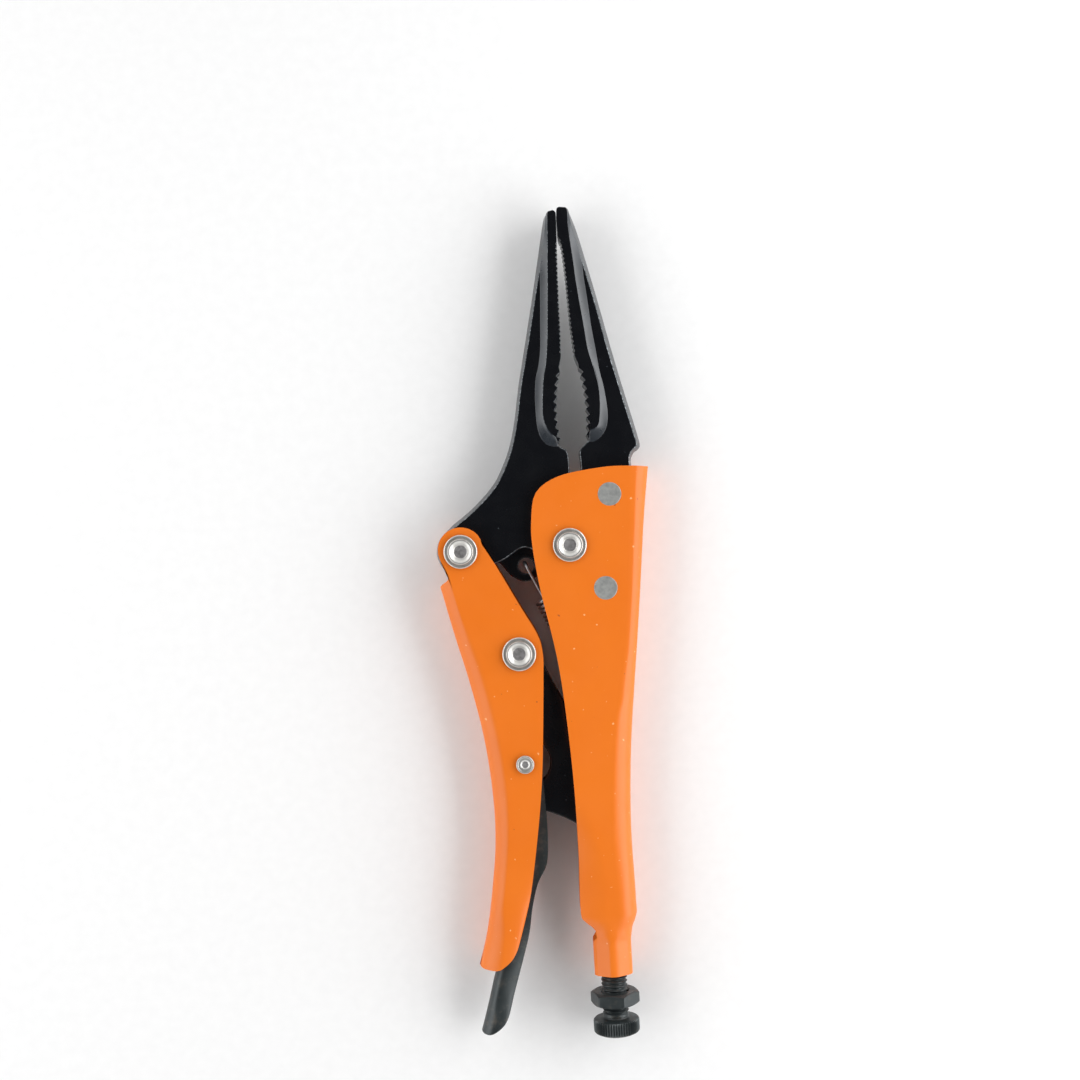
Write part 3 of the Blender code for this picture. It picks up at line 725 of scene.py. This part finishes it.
def make_lever_handle():
    """The orange fold of the lever, round its upper boss and closed by a rounded lower end."""
    spine = through([
        (-39.2, -10.4), (-35.8, -25.0), (-31.9, -40.5), (-28.8, -56.5), (-27.2, -73.0),
        (-27.2, -87.0), (-28.8, -100.5), (-31.2, -114.0), (-34.0, -123.8),
    ])
    open_edge = through([
        (-26.0, 1.6), (-22.4, -4.6), (-16.0, -16.8), (-11.0, -26.2), (-9.8, -32.0), (-10.0, -38.0),
        (-11.0, -54.0), (-12.1, -68.0), (-13.9, -82.1), (-17.0, -100.5), (-19.2, -109.4),
        (-20.5, -113.4),
    ])
    boss_centre = (LEVER_PIVOT[0], LEVER_PIVOT[1] + LEVER_BOSS_RISE)
    boss = arc(boss_centre, LEVER_BOSS, 222, 28, 24)
    neck = through([(-39.2, -10.4), (-38.4, -9.6), (-36.7, -8.4), (-36.4, -6.6)], 5)
    top = neck[:-1] + boss[1:] + [(-26.0, 1.6)]
    bottom = through([
        (-34.0, -123.8), (-33.2, -124.5), (-30.4, -124.9), (-28.3, -124.9), (-26.4, -123.9),
        (-24.3, -122.2), (-22.7, -119.9), (-21.5, -116.8), (-20.5, -113.4),
    ])
    radius = [
        (-124, 6.6), (-116, 5.9), (-108, 5.5), (-80, 5.2), (-45, 4.7), (-28, 4.4), (-16, 4.0),
        (-10, 3.8),
    ]
    half = [(-124, 5.7), (-118, 6.15), (-112, 6.3)]
    crease = [(-124, 14), (-104, 22), (-76, 32), (-10, 40)]

    def shape(y):
        droop = 1.5 * smooth(104, 122, -y)
        return curve(radius, y), curve(half, y), SHEET, droop, 0.0, math.radians(curve(crease, y))

    sections = Fold(spine, open_edge, top, bottom, (26.0, 16.0), shape).sections(80)
    piece(
        "lever_handle_shell", sheet_mesh(sections), [ORANGE], "lever", ["lever_handle"],
        edge=SHELL_EDGE, segments=3, angle=50.0,
    )


def make_release_lever():
    """The thin black fold inside the lever, whose end sticks out below it."""
    spine = through([
        (-22.8, -53.0), (-24.3, -60.0), (-23.9, -70.0), (-23.3, -82.0), (-23.6, -91.6),
        (-24.4, -100.5), (-25.4, -109.5), (-26.9, -118.4), (-30.0, -128.3), (-32.6, -137.4),
        (-34.5, -143.5),
    ])
    open_edge = through([
        (-15.0, -59.0), (-12.4, -64.0), (-11.7, -75.0), (-11.5, -86.0), (-12.2, -94.2),
        (-15.2, -100.0), (-17.2, -107.0), (-18.5, -114.4), (-20.5, -121.4), (-23.9, -132.1),
        (-25.2, -136.6),
    ])
    top = through([
        (-22.8, -53.0), (-21.6, -51.2), (-20.2, -50.6), (-19.4, -52.6), (-19.3, -56.0),
        (-15.0, -59.0),
    ])
    bottom = through([
        (-34.5, -143.5), (-33.8, -144.0), (-32.2, -144.3), (-30.6, -143.9), (-28.8, -142.8),
        (-27.2, -141.3), (-26.1, -139.3), (-25.2, -136.6),
    ])
    radius = [(-140, 3.9), (-124, 3.4), (-100, 2.2), (-60, 2.0), (-54, 1.6)]

    def shape(y):
        return curve(radius, y), RELEASE_HALF, RELEASE_SHEET, 1.6 * smooth(104, 136, -y)

    sections = Fold(spine, open_edge, top, bottom, (10.0, 9.0), shape).sections(72)
    piece(
        "release_lever_shell", sheet_mesh(sections), [OXIDE], "release_lever", ["release_lever"],
        edge=RELEASE_EDGE, angle=50.0,
    )


# ---------------------------------------------------------------- jaws

# Half the height of the parting line's flat, and where the fine serrations run along the jaws' faces.
PARTING_HALF = 0.6
SERRATIONS = (56.5, 91.0)
SERRATION_PITCH = 1.36
SERRATION_DEPTH = 0.4
TOOTH_DEPTH = 0.95


def run(wide, narrow, count):
    """A stretch of the two outlines: the parting line and the edge of the face above it."""
    return tuple([tuple(p) for p in resampled(through(line), count)] for line in (wide, narrow))


def joined(runs):
    """Puts stretches of outline end to end."""
    return [p for wide, narrow in runs for p in wide], [p for wide, narrow in runs for p in narrow]


def forging(name, runs, levels, body, nodes, edge, angle):
    """A forging lofted between its two outlines, with sloped sides in a lighter black that is painted
    sheen, and edges in grey specks that are partly wear and partly painted highlight.
    """
    wide, narrow = joined(runs)
    # The sloped sides take the lighter black of the painted sheen.
    work = lofted(wide, narrow, levels, JAW_FINISH_AND_SHEEN.index(SLOPE_SHEEN))
    made = piece(name, work, JAW_FINISH_AND_SHEEN, body, nodes, edge=edge, angle=angle)
    # The rounded edges take the grey specks of wear and painted highlight.
    made.modifiers["soft_edges"].material = JAW_FINISH_AND_SHEEN.index(EDGE_WEAR_AND_HIGHLIGHT)


def jaw_web(name, runs, body, node_name):
    """The forged web of a jaw: a flat face each side and a slope down to the parting line."""
    levels = [(JAW_HALF, 1.0), (PARTING_HALF, 0.0), (-PARTING_HALF, 0.0), (-JAW_HALF, 1.0)]
    forging(name, runs, levels, body, [node_name], WEB_EDGE, 32.0)


def jaw_pad(name, back, bottom_turn, grip, face, body):
    """The raised strip along a jaw's inner edge, with its teeth and a rounded slope down to the web."""
    slope = [
        (PAD_HALF, 1.0), (4.82, 0.88), (4.60, 0.70), (4.40, 0.48), (4.20, 0.28), (4.06, 0.10),
        (JAW_HALF - 0.03, 0.0),
    ]
    levels = slope + [(-z, share) for z, share in reversed(slope)]
    forging(name, [back, bottom_turn, (grip, grip), (face, face)], levels, body, [], PAD_EDGE, 26.0)


def serrated(line, depth):
    """Fine teeth along the middle of a smooth face line that runs upwards."""
    start, end = SERRATIONS
    low = [p for p in line if p[1] < start]
    high = [p for p in line if p[1] > end]
    middle = [p for p in line if start <= p[1] <= end]
    count = int(round(lengths(middle)[-1] / SERRATION_PITCH)) + 1
    return low + teeth([tuple(p) for p in resampled(middle, count)], depth, 0.5, 0.15) + high


def make_fixed_jaw():
    """The fixed jaw's web, hidden foot included, and its pad, whose teeth lie on a hollow arc."""
    outer = run([
        (4.6, 100.3), (5.5, 99.4), (6.5, 96.7), (7.6, 93.2), (9.9, 83.9), (12.6, 72.4),
        (15.6, 58.8), (18.4, 47.0), (21.4, 35.0), (22.6, 29.9),
    ], [
        (4.4, 99.9), (4.9, 98.6), (5.5, 95.8), (6.4, 92.6), (8.7, 83.6), (11.4, 72.6), (14.4, 58.6),
        (17.2, 47.0), (20.2, 35.0), (21.5, 29.9),
    ], 90)
    notch = run([
        (22.75, 29.2), (22.7, 28.2), (22.0, 27.2), (21.0, 26.6), (20.2, 25.5), (19.8, 24.0),
        (20.0, 20.0),
    ], [
        (21.6, 29.1), (21.6, 28.4), (21.0, 27.7), (20.3, 27.1), (19.5, 26.0), (19.1, 24.2),
        (19.3, 20.0),
    ], 24)
    hidden = [(20.0, 8.0), (18.0, -8.0), (16.6, -17.0), (14.6, -19.0), (5.2, -19.4), (3.6, -15.0)]
    hidden += arc((0, 0), 7.9, -62, 62, 16)
    throat = run([
        (4.4, 12.0), (4.6, 18.0), (4.5, 25.0), (4.4, 27.0), (4.8, 28.2), (6.2, 29.5), (7.9, 31.2),
        (8.7, 34.0),
    ], [
        (4.6, 12.0), (4.8, 18.0), (4.7, 25.0), (4.6, 27.0), (5.0, 28.4), (6.4, 29.7), (8.1, 31.4),
        (8.9, 34.0),
    ], 40)
    back = [(8.9, 40.0), (8.4, 46.0), (6.8, 54.0), (5.2, 64.0), (4.2, 80.0), (3.2, 92.0), (2.8, 98.4)]
    tip = run([(2.9, 99.7), (3.5, 100.35)], [(3.1, 99.4), (3.5, 99.9)], 4)
    runs = [outer, notch, (hidden, hidden), throat, run(back, back, 30), tip]
    jaw_web("fixed_jaw_web", runs, "fixed_handle", "fixed_jaw")
    pad_back = run([
        (4.6, 100.3), (5.3, 99.3), (5.7, 96.6), (6.4, 93.0), (8.4, 84.4), (8.8, 79.2), (9.4, 73.5),
        (10.2, 64.5), (11.1, 57.6), (11.9, 51.2), (12.8, 46.6), (13.4, 42.0), (13.6, 38.0),
        (13.2, 35.0), (12.2, 32.8), (10.8, 31.2),
    ], [
        (4.4, 100.1), (4.9, 99.2), (4.9, 95.4), (5.1, 92.0), (5.8, 84.4), (6.2, 79.2), (6.8, 73.5),
        (7.9, 64.5), (8.7, 57.6), (10.3, 51.2), (11.2, 46.6), (11.4, 42.0), (11.1, 38.0),
        (10.7, 35.6), (10.0, 34.5), (9.0, 34.0),
    ], 110)
    turn = run([(10.0, 30.6), (8.8, 30.1), (7.8, 30.2)], [(8.6, 33.9), (8.2, 33.8), (7.9, 33.6)], 6)
    grip = [(7.6, 31.0)] + teeth(arc((-54.7, 38.9), 61.9, -6.2, 12.5, 8), -TOOTH_DEPTH)
    face = through([
        (5.6, 53.6), (4.7, 56.2), (4.1, 61.6), (3.6, 70.0), (3.2, 80.0), (2.7, 87.0), (2.3, 90.0),
        (1.75, 92.6), (1.68, 99.2),
    ]) + [(1.9, 100.0), (2.5, 100.32)]
    serrations = serrated(face, -SERRATION_DEPTH)
    jaw_pad("fixed_jaw_pad", pad_back, turn, grip, serrations, "fixed_handle")


def make_moving_jaw():
    """The moving jaw's web with its tail and boss, its pad, and the thin tab for the spring."""
    outer = run([
        (-0.9, 99.3), (-2.0, 98.2), (-2.8, 95.0), (-4.4, 87.0), (-6.2, 78.0), (-8.0, 69.4),
        (-10.1, 59.6), (-12.6, 48.0), (-14.4, 37.7), (-16.5, 29.7), (-19.5, 22.9), (-22.6, 18.2),
        (-28.5, 12.4), (-34.6, 7.8),
    ], [
        (-0.8, 98.9), (-1.3, 97.4), (-1.8, 94.0), (-3.1, 87.0), (-5.3, 77.6), (-7.1, 69.0),
        (-9.2, 59.2), (-11.8, 47.6), (-13.6, 37.3), (-15.7, 29.2), (-18.7, 22.3), (-21.9, 17.4),
        (-27.9, 11.6), (-34.2, 6.9),
    ], 120)
    tail = tuple(arc(LEVER_PIVOT, radius, 125, 285, 24) for radius in (7.4, 6.8))
    step = run([
        (-24.0, -5.2), (-19.5, -3.4), (-14.2, -0.3), (-10.6, -1.2),
    ], [
        (-24.0, -4.8), (-19.6, -3.0), (-14.2, 0.1), (-10.6, -0.8),
    ], 24)
    boss = arc((0, 0), 7.5, 190, 434, 40)
    throat = run([
        (1.4, 12.0), (1.2, 18.0), (1.3, 25.0), (1.1, 27.2), (0.6, 28.4), (-0.6, 29.2), (-2.0, 30.2),
        (-2.6, 33.0),
    ], [
        (1.2, 12.0), (1.0, 18.0), (1.1, 25.0), (0.9, 27.2), (0.4, 28.2), (-0.8, 29.0), (-2.2, 30.1),
        (-2.8, 33.0),
    ], 40)
    back = [(-3.0, 38.0), (-2.7, 46.0), (-1.2, 54.0), (-0.4, 64.0), (0.2, 80.0), (0.6, 98.2)]
    tip = run([(0.4, 99.2), (-0.2, 99.4)], [(0.3, 98.9), (-0.2, 99.0)], 4)
    runs = [outer, tail, step, (boss, boss), throat, run(back, back, 30), tip]
    jaw_web("moving_jaw_web", runs, "moving_jaw", "moving_jaw")
    pad_back = run([
        (-1.0, 99.2), (-1.5, 98.2), (-2.0, 94.6), (-3.2, 87.4), (-4.2, 82.4), (-4.5, 76.2),
        (-5.1, 65.0), (-5.5, 58.5), (-6.3, 53.6), (-7.3, 50.0), (-7.8, 45.5), (-7.9, 41.5),
        (-7.8, 37.0), (-7.4, 34.0), (-6.6, 31.8), (-5.3, 30.2),
    ], [
        (-0.8, 99.2), (-1.1, 98.0), (-1.3, 93.6), (-1.6, 87.4), (-1.9, 82.4), (-2.2, 76.2),
        (-2.9, 65.0), (-3.4, 58.5), (-4.1, 53.6), (-4.9, 50.0), (-5.4, 45.5), (-5.7, 41.5),
        (-5.7, 38.2), (-5.1, 35.8), (-4.3, 34.3), (-3.5, 33.2),
    ], 110)
    turn = run([(-4.3, 29.7), (-3.0, 29.35), (-1.9, 29.4)], [(-3.1, 32.8), (-2.7, 32.4), (-2.3, 32.0)], 6)
    grip = [(-1.7, 30.3)] + teeth(arc((52.3, 39.0), 53.7, 188.1, 166.6, 8), TOOTH_DEPTH)
    face = through([
        (-0.2, 53.0), (0.6, 56.0), (0.9, 61.7), (0.95, 68.3), (1.05, 75.0), (1.15, 81.0),
        (1.35, 90.0), (1.5, 98.6),
    ]) + [(1.2, 99.2), (0.6, 99.5)]
    serrations = serrated(face, SERRATION_DEPTH)
    jaw_pad("moving_jaw_pad", pad_back, turn, grip, serrations, "moving_jaw")
    tab = through([
        (-24.0, -2.0), (-21.0, -4.4), (-17.7, -8.4), (-13.6, -10.2), (-10.0, -8.6), (-6.0, -3.0),
    ])
    tab += [(-4.0, 2.0), (-20.0, 3.0)]
    flat_plate(
        "moving_jaw_tab", tab, [(TAB_HOLE, 2.4)], TAB_HALF, 0.3, [BLACK],
        "moving_jaw", [],
    )


def make_toggle_link():
    """The flat link from the lever to the tip of the screw, notched round the small rivet."""
    head = arc(LINK_PIVOT, 6.2, 190, 25, 24)
    right = [(-9.0, -37.0), (2.0, -59.5), (9.6, -74.0)]
    nose = arc(LINK_NOSE, 3.2, 25, -115, 16)
    bottom = through([(-2.3, -83.5), (-6.1, -81.2), (-11.6, -78.8), (-15.2, -77.4)])
    notch = arc(RELEASE_PIVOT, 7.5, -80, 92, 24)
    flat_plate(
        "toggle_link_plate", head + right + nose + bottom + notch, [], LINK_HALF, PLATE_EDGE, [BLACK],
        "toggle_link", ["toggle_link"],
    )


# ---------------------------------------------------------------- rivets and washers

RIVET_SEGMENTS = 64
SMALL_RIVET_SEGMENTS = 48
FLAT_RIVET_SEGMENTS = 56


def mirrored(half):
    """A (radius, height) profile followed by its reflection below the middle plane."""
    return half + [(r, -z) for r, z in reversed(half)]


def mark_core(work, at, radius):
    """Gives the faces near a rivet's axis the second material."""
    for face in work.faces:
        if (face.calc_center_median().xy - Vector(at)).length < radius:
            face.material_index = 1


def make_pivot_set(prefix, at, body):
    """A tubular rivet with a rolled lip and a pressed core, over a round-edged washer on each side."""
    lip = [
        (0.0, 7.0), (1.7, 7.02), (1.95, 7.08), (2.15, 7.3), (2.75, 7.82), (3.1, 8.05), (3.35, 8.17),
        (3.55, 8.2), (3.72, 8.13), (3.82, 7.95), (3.84, 7.7), (3.7, 7.42), (3.0, 7.35),
    ]
    work = turned(mirrored(lip), RIVET_SEGMENTS, at)
    mark_core(work, at, 1.9)
    name = prefix + "_rivet"
    piece(name + "_head", work, [ZINC, CORE], body, [name], angle=60.0)
    ring = [
        (3.3, 6.62), (4.75, 6.62), (4.95, 6.72), (5.02, 6.9), (4.98, 7.1), (4.82, 7.24), (4.6, 7.3),
        (4.1, 7.3), (3.9, 7.2), (3.3, 7.1),
    ]
    for side, turn in (("top", 1), ("bottom", -1)):
        name = prefix + "_washer_" + side
        work = turned([(r, z * turn) for r, z in ring], RIVET_SEGMENTS, at)
        piece(name + "_ring", work, [ZINC], body, [name], angle=50.0)


def make_small_rivet():
    """The release lever's small rivet, with a rolled lip like the others."""
    head = [
        (0.0, 6.66), (0.85, 6.68), (1.0, 6.74), (1.2, 6.86), (1.8, 7.14), (1.95, 7.1), (2.1, 7.2),
        (2.35, 7.3), (2.55, 7.26), (2.68, 7.08), (2.7, 6.85), (2.68, 6.6), (1.6, 6.55),
    ]
    work = turned(mirrored(head), SMALL_RIVET_SEGMENTS, RELEASE_PIVOT)
    mark_core(work, RELEASE_PIVOT, 0.95)
    piece(
        "release_rivet_head", work, [ZINC, CORE], "lever", ["release_lever_rivet"],
        angle=50.0,
    )


def make_flat_rivets():
    """The two rivets that hold the fixed jaw, ground nearly flush with the walls."""
    top = [(0.0, 6.36), (2.9, 6.36), (3.2, 6.39), (3.4, 6.37), (3.5, 6.28), (3.5, 6.1)]
    for place, at in FIXED_RIVETS.items():
        work = turned(mirrored(top), FLAT_RIVET_SEGMENTS, at)
        piece(
            "flush_rivet_" + place, work, [DULL], "fixed_handle", ["fixed_jaw_rivet_" + place],
            angle=60.0,
        )


# ---------------------------------------------------------------- adjusting screw, nut and spring


# The M8 thread: its tip is chamfered, and it runs out before the head.
THREAD_PITCH = 1.25
THREAD_CREST = 3.9
THREAD_ROOT = 3.28
CREST_SHARE = 0.12
FLANK_SHARE = 0.74
SCREW_TIP = -87.4
THREAD_END = -141.4
RUNOUT = 1.5
TIP_RADIUS = 2.5
TIP_SLOPE = 0.9
THREAD_ROWS = 360
THREAD_SIDES = 56

# The head: knurled between its two chamfers.
KNURL_START = -142.2
KNURL_END = -146.4
KNURL_ROOT = 6.45
KNURL_DEPTH = 0.42
KNURL_FADE = 0.55
RIDGES = 54

# The hexagon nut, turned a little about the screw, with both faces chamfered.
NUT_ACROSS_FLATS = 13.0
NUT_CORNER = 7.38
NUT_FACE = 6.15
NUT_HALF = 2.0
NUT_CENTRE = -136.0
NUT_TURN = 12
NUT_CHAMFER = math.radians(28)
NUT_BORE = 4.0
NUT_COUNTERSINK = 4.5
NUT_COUNTERSINK_DEPTH = 0.45
NUT_STEPS = 96

# The spring: where its coils and its two hooks lie, measured from the hole at the nearer end.
SPRING_TURNS = 26
COIL_STEPS = 20
COIL_RADIUS = 2.7
WIRE_RADIUS = 0.56
COIL_START = 11.5
COIL_REAR = 6.5
FRONT_HOOK = 1.6
REAR_HOOK = 2.5


def round_y(rows, count, radius):
    """A closed surface about the screw's axis: radius(angle, y) on rows of places along Y."""
    work = bmesh.new()
    rings = []
    for y in rows:
        ring = []
        for i in range(count):
            angle = 2 * math.pi * i / count
            r = radius(angle, y)
            ring.append(work.verts.new((SCREW_X + r * math.cos(angle), y, r * math.sin(angle))))
        rings.append(ring)
    ring_faces(work, rings, caps=True)
    return work


def thread_radius(angle, y):
    """The radius of a helical thread with flat crests and roots."""
    phase = (y / THREAD_PITCH - angle / (2 * math.pi)) % 1.0
    height = min(max((abs(2 * phase - 1) - CREST_SHARE) / FLANK_SHARE, 0.0), 1.0)
    depth = 1 - smooth(-THREAD_END - RUNOUT, -THREAD_END, -y)
    radius = mix(THREAD_CREST, mix(THREAD_CREST, THREAD_ROOT, 1 - height), depth)
    return min(radius, TIP_RADIUS + (SCREW_TIP - y) * TIP_SLOPE)


def knurl_radius(angle, y):
    """The radius of straight pointed ridges that fade out at both ends."""
    phase = (angle * RIDGES / (2 * math.pi)) % 1.0
    ridge = 1 - abs(2 * phase - 1)
    fade = min(1.0, max(0.0, min(KNURL_START - y, y - KNURL_END)) / KNURL_FADE)
    return KNURL_ROOT + KNURL_DEPTH * ridge * fade


def make_screw():
    """The adjusting screw: its thread and, as a piece of its own, its knurled head."""
    rows = [SCREW_TIP + (THREAD_END - SCREW_TIP) * i / THREAD_ROWS for i in range(THREAD_ROWS + 1)]
    piece(
        "screw_thread", round_y(rows, THREAD_SIDES, thread_radius), [OXIDE], "adjusting_screw",
        ["adjusting_screw"], angle=40.0,
    )
    neck = [(-140.9, 3.3), (-141.6, 3.5), (-142.0, 3.9), (KNURL_START, 5.9)]
    grip = [-142.32, -142.7, -143.1, -144.3, -145.5, -145.9, -146.25]
    dome = [(KNURL_END, 6.05), (-146.75, 5.5), (-147.05, 4.4), (-147.25, 3.0), (-147.3, 1.2)]
    plain = dict(neck + dome)
    rows = [y for y, r in neck] + grip + [y for y, r in dome]
    head = round_y(rows, RIDGES * 4, lambda angle, y: plain.get(y) or knurl_radius(angle, y))
    piece("screw_head", head, [OXIDE], "adjusting_screw", [], angle=35.0)


def make_nut():
    """The hexagon lock nut on the screw, between the collar and the head."""
    work = bmesh.new()
    rings = [[] for _ in range(8)]
    for i in range(NUT_STEPS):
        angle = 2 * math.pi * i / NUT_STEPS
        near = min(abs((math.degrees(angle) - NUT_TURN - k * 60 + 180) % 360 - 180) for k in range(6))
        side = min(NUT_ACROSS_FLATS / 2 / math.cos(math.radians(30 - near)), NUT_CORNER)
        drop = (side - NUT_FACE) * math.tan(NUT_CHAMFER)
        upper = [
            (NUT_BORE, NUT_HALF - NUT_COUNTERSINK_DEPTH), (NUT_COUNTERSINK, NUT_HALF),
            (NUT_FACE, NUT_HALF), (side, NUT_HALF - drop),
        ]
        for ring, (r, y) in zip(rings, upper + [(r, -y) for r, y in reversed(upper)]):
            place = (SCREW_X + r * math.cos(angle), NUT_CENTRE + y, r * math.sin(angle))
            ring.append(work.verts.new(place))
    ring_faces(work, rings + [rings[0]])
    piece("lock_nut_hex", work, [OXIDE], "lock_nut", ["lock_nut"], angle=24.0)


def make_spring():
    """Close coils between two hooks, bunched towards the rear one."""
    front, rear = Vector((*TAB_HOLE, 0)), Vector((*TONGUE_HOLE, 0))
    length = (rear - front).length
    along = (rear - front).normalized()
    up = Vector((0, 0, 1))
    side = along.cross(up)

    def at(distance, out, height):
        return front + along * distance + side * out + up * height

    def hook(centre, start, end):
        turn = arc((centre, 0), COIL_RADIUS, start, end, COIL_STEPS)
        return [at(distance, 0, height) for distance, height in turn]

    points = hook(FRONT_HOOK, 230, 92)
    count = SPRING_TURNS * COIL_STEPS
    for i in range(count + 1):
        angle = 2 * math.pi * i / COIL_STEPS
        distance = COIL_START + (length - COIL_REAR - COIL_START) * i / count
        points.append(at(distance, COIL_RADIUS * math.sin(angle), COIL_RADIUS * math.cos(angle)))
    points += hook(length - REAR_HOOK, 88, -50)
    shape = bpy.data.curves.new("spring_line", "CURVE")
    shape.dimensions = "3D"
    shape.bevel_depth = WIRE_RADIUS
    shape.bevel_resolution = 3
    shape.use_fill_caps = True
    spline = shape.splines.new("POLY")
    spline.points.add(len(points) - 1)
    for point, place in zip(spline.points, points):
        point.co = (*place, 1)
    spring = piece(
        "return_spring_coil", bmesh_of_curve(shape), [WIRE], "fixed_handle", ["return_spring"],
        angle=60.0,
    )
    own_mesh(spring)


# ---------------------------------------------------------------- stage

# In metres, from the middle of the pliers: the floor, two softboxes beside the pliers, and the camera.
FLOOR_HALF = 3.0
SKY_STRENGTH = 1.28
SKY = [(0.0, 0.45), (0.14, 1.0), (0.60, 1.0), (0.80, 0.05), (1.0, 0.025)]
SOFTBOX_SIZE = (0.9, 0.42)
SOFTBOX_SIDE = 0.48
SOFTBOX_ALONG = 0.02
SOFTBOX_HIGH = 0.26
SOFTBOXES = (("left_softbox", -1, 1.6), ("right_softbox", 1, 3.3))
CAMERA_PLACE = (-0.0012, 0.0254)
CAMERA_ABOVE_PIVOT = 0.450
CAMERA_TURN = -3.3
LENS = 50.0
SENSOR = 36.0


def softbox(name, place, power):
    """A rectangular area light aimed at the middle of the pliers."""
    lamp = bpy.data.lights.new(name, "AREA")
    lamp.shape = "RECTANGLE"
    lamp.size, lamp.size_y = SOFTBOX_SIZE
    lamp.energy = power
    obj = bpy.data.objects.new(name, lamp)
    bpy.context.scene.collection.objects.link(obj)
    obj.location = place
    obj.rotation_euler = (-Vector(place)).to_track_quat("-Z", "Y").to_euler()


def make_floor():
    work = bmesh.new()
    bmesh.ops.create_grid(work, x_segments=2, y_segments=2, size=FLOOR_HALF)
    mesh = bpy.data.meshes.new("floor")
    work.to_mesh(mesh)
    work.free()
    mesh.materials.append(floor_paper())
    floor = bpy.data.objects.new("floor", mesh)
    bpy.context.scene.collection.objects.link(floor)


def make_light():
    """A sky that is bright all round and dark overhead, so that flat tops stay deep, and softboxes."""
    world = bpy.data.worlds.new("studio")
    bpy.context.scene.world = world
    world.use_nodes = True
    tree = world.node_tree
    background = tree.nodes["Background"]
    place = node(tree, "ShaderNodeTexCoord", -900, 0).outputs["Generated"]
    parts = node(tree, "ShaderNodeSeparateXYZ", -700, 0)
    tree.links.new(place, parts.inputs["Vector"])
    tree.links.new(ramp(tree, parts.outputs["Z"], SKY), background.inputs["Color"])
    background.inputs["Strength"].default_value = SKY_STRENGTH
    for name, side, power in SOFTBOXES:
        softbox(name, (side * SOFTBOX_SIDE, SOFTBOX_ALONG, SOFTBOX_HIGH), power)
    bpy.context.scene.view_settings.view_transform = "Standard"


def make_camera():
    """The camera looks straight down, as in the photo."""
    lens = bpy.data.cameras.new("camera")
    lens.lens, lens.sensor_width = LENS, SENSOR
    lens.clip_start, lens.clip_end = 0.01, 10.0
    camera = bpy.data.objects.new("camera", lens)
    bpy.context.scene.collection.objects.link(camera)
    camera.location = (*CAMERA_PLACE, JAW_PIVOT.z + CAMERA_ABOVE_PIVOT)
    camera.rotation_euler = (0, 0, math.radians(CAMERA_TURN))
    bpy.context.scene.camera = camera


make_camera()
make_floor()
make_light()
make_main_handle()
make_tongue()
make_fixed_jaw()
make_flat_rivets()
make_moving_jaw()
make_lever_handle()
make_toggle_link()
make_release_lever()
make_pivot_set("jaw_pivot", (0, 0), "fixed_handle")
make_pivot_set("lever_pivot", LEVER_PIVOT, "lever")
make_pivot_set("link_pivot", LINK_PIVOT, "lever")
make_small_rivet()
make_screw()
make_nut()
make_spring()
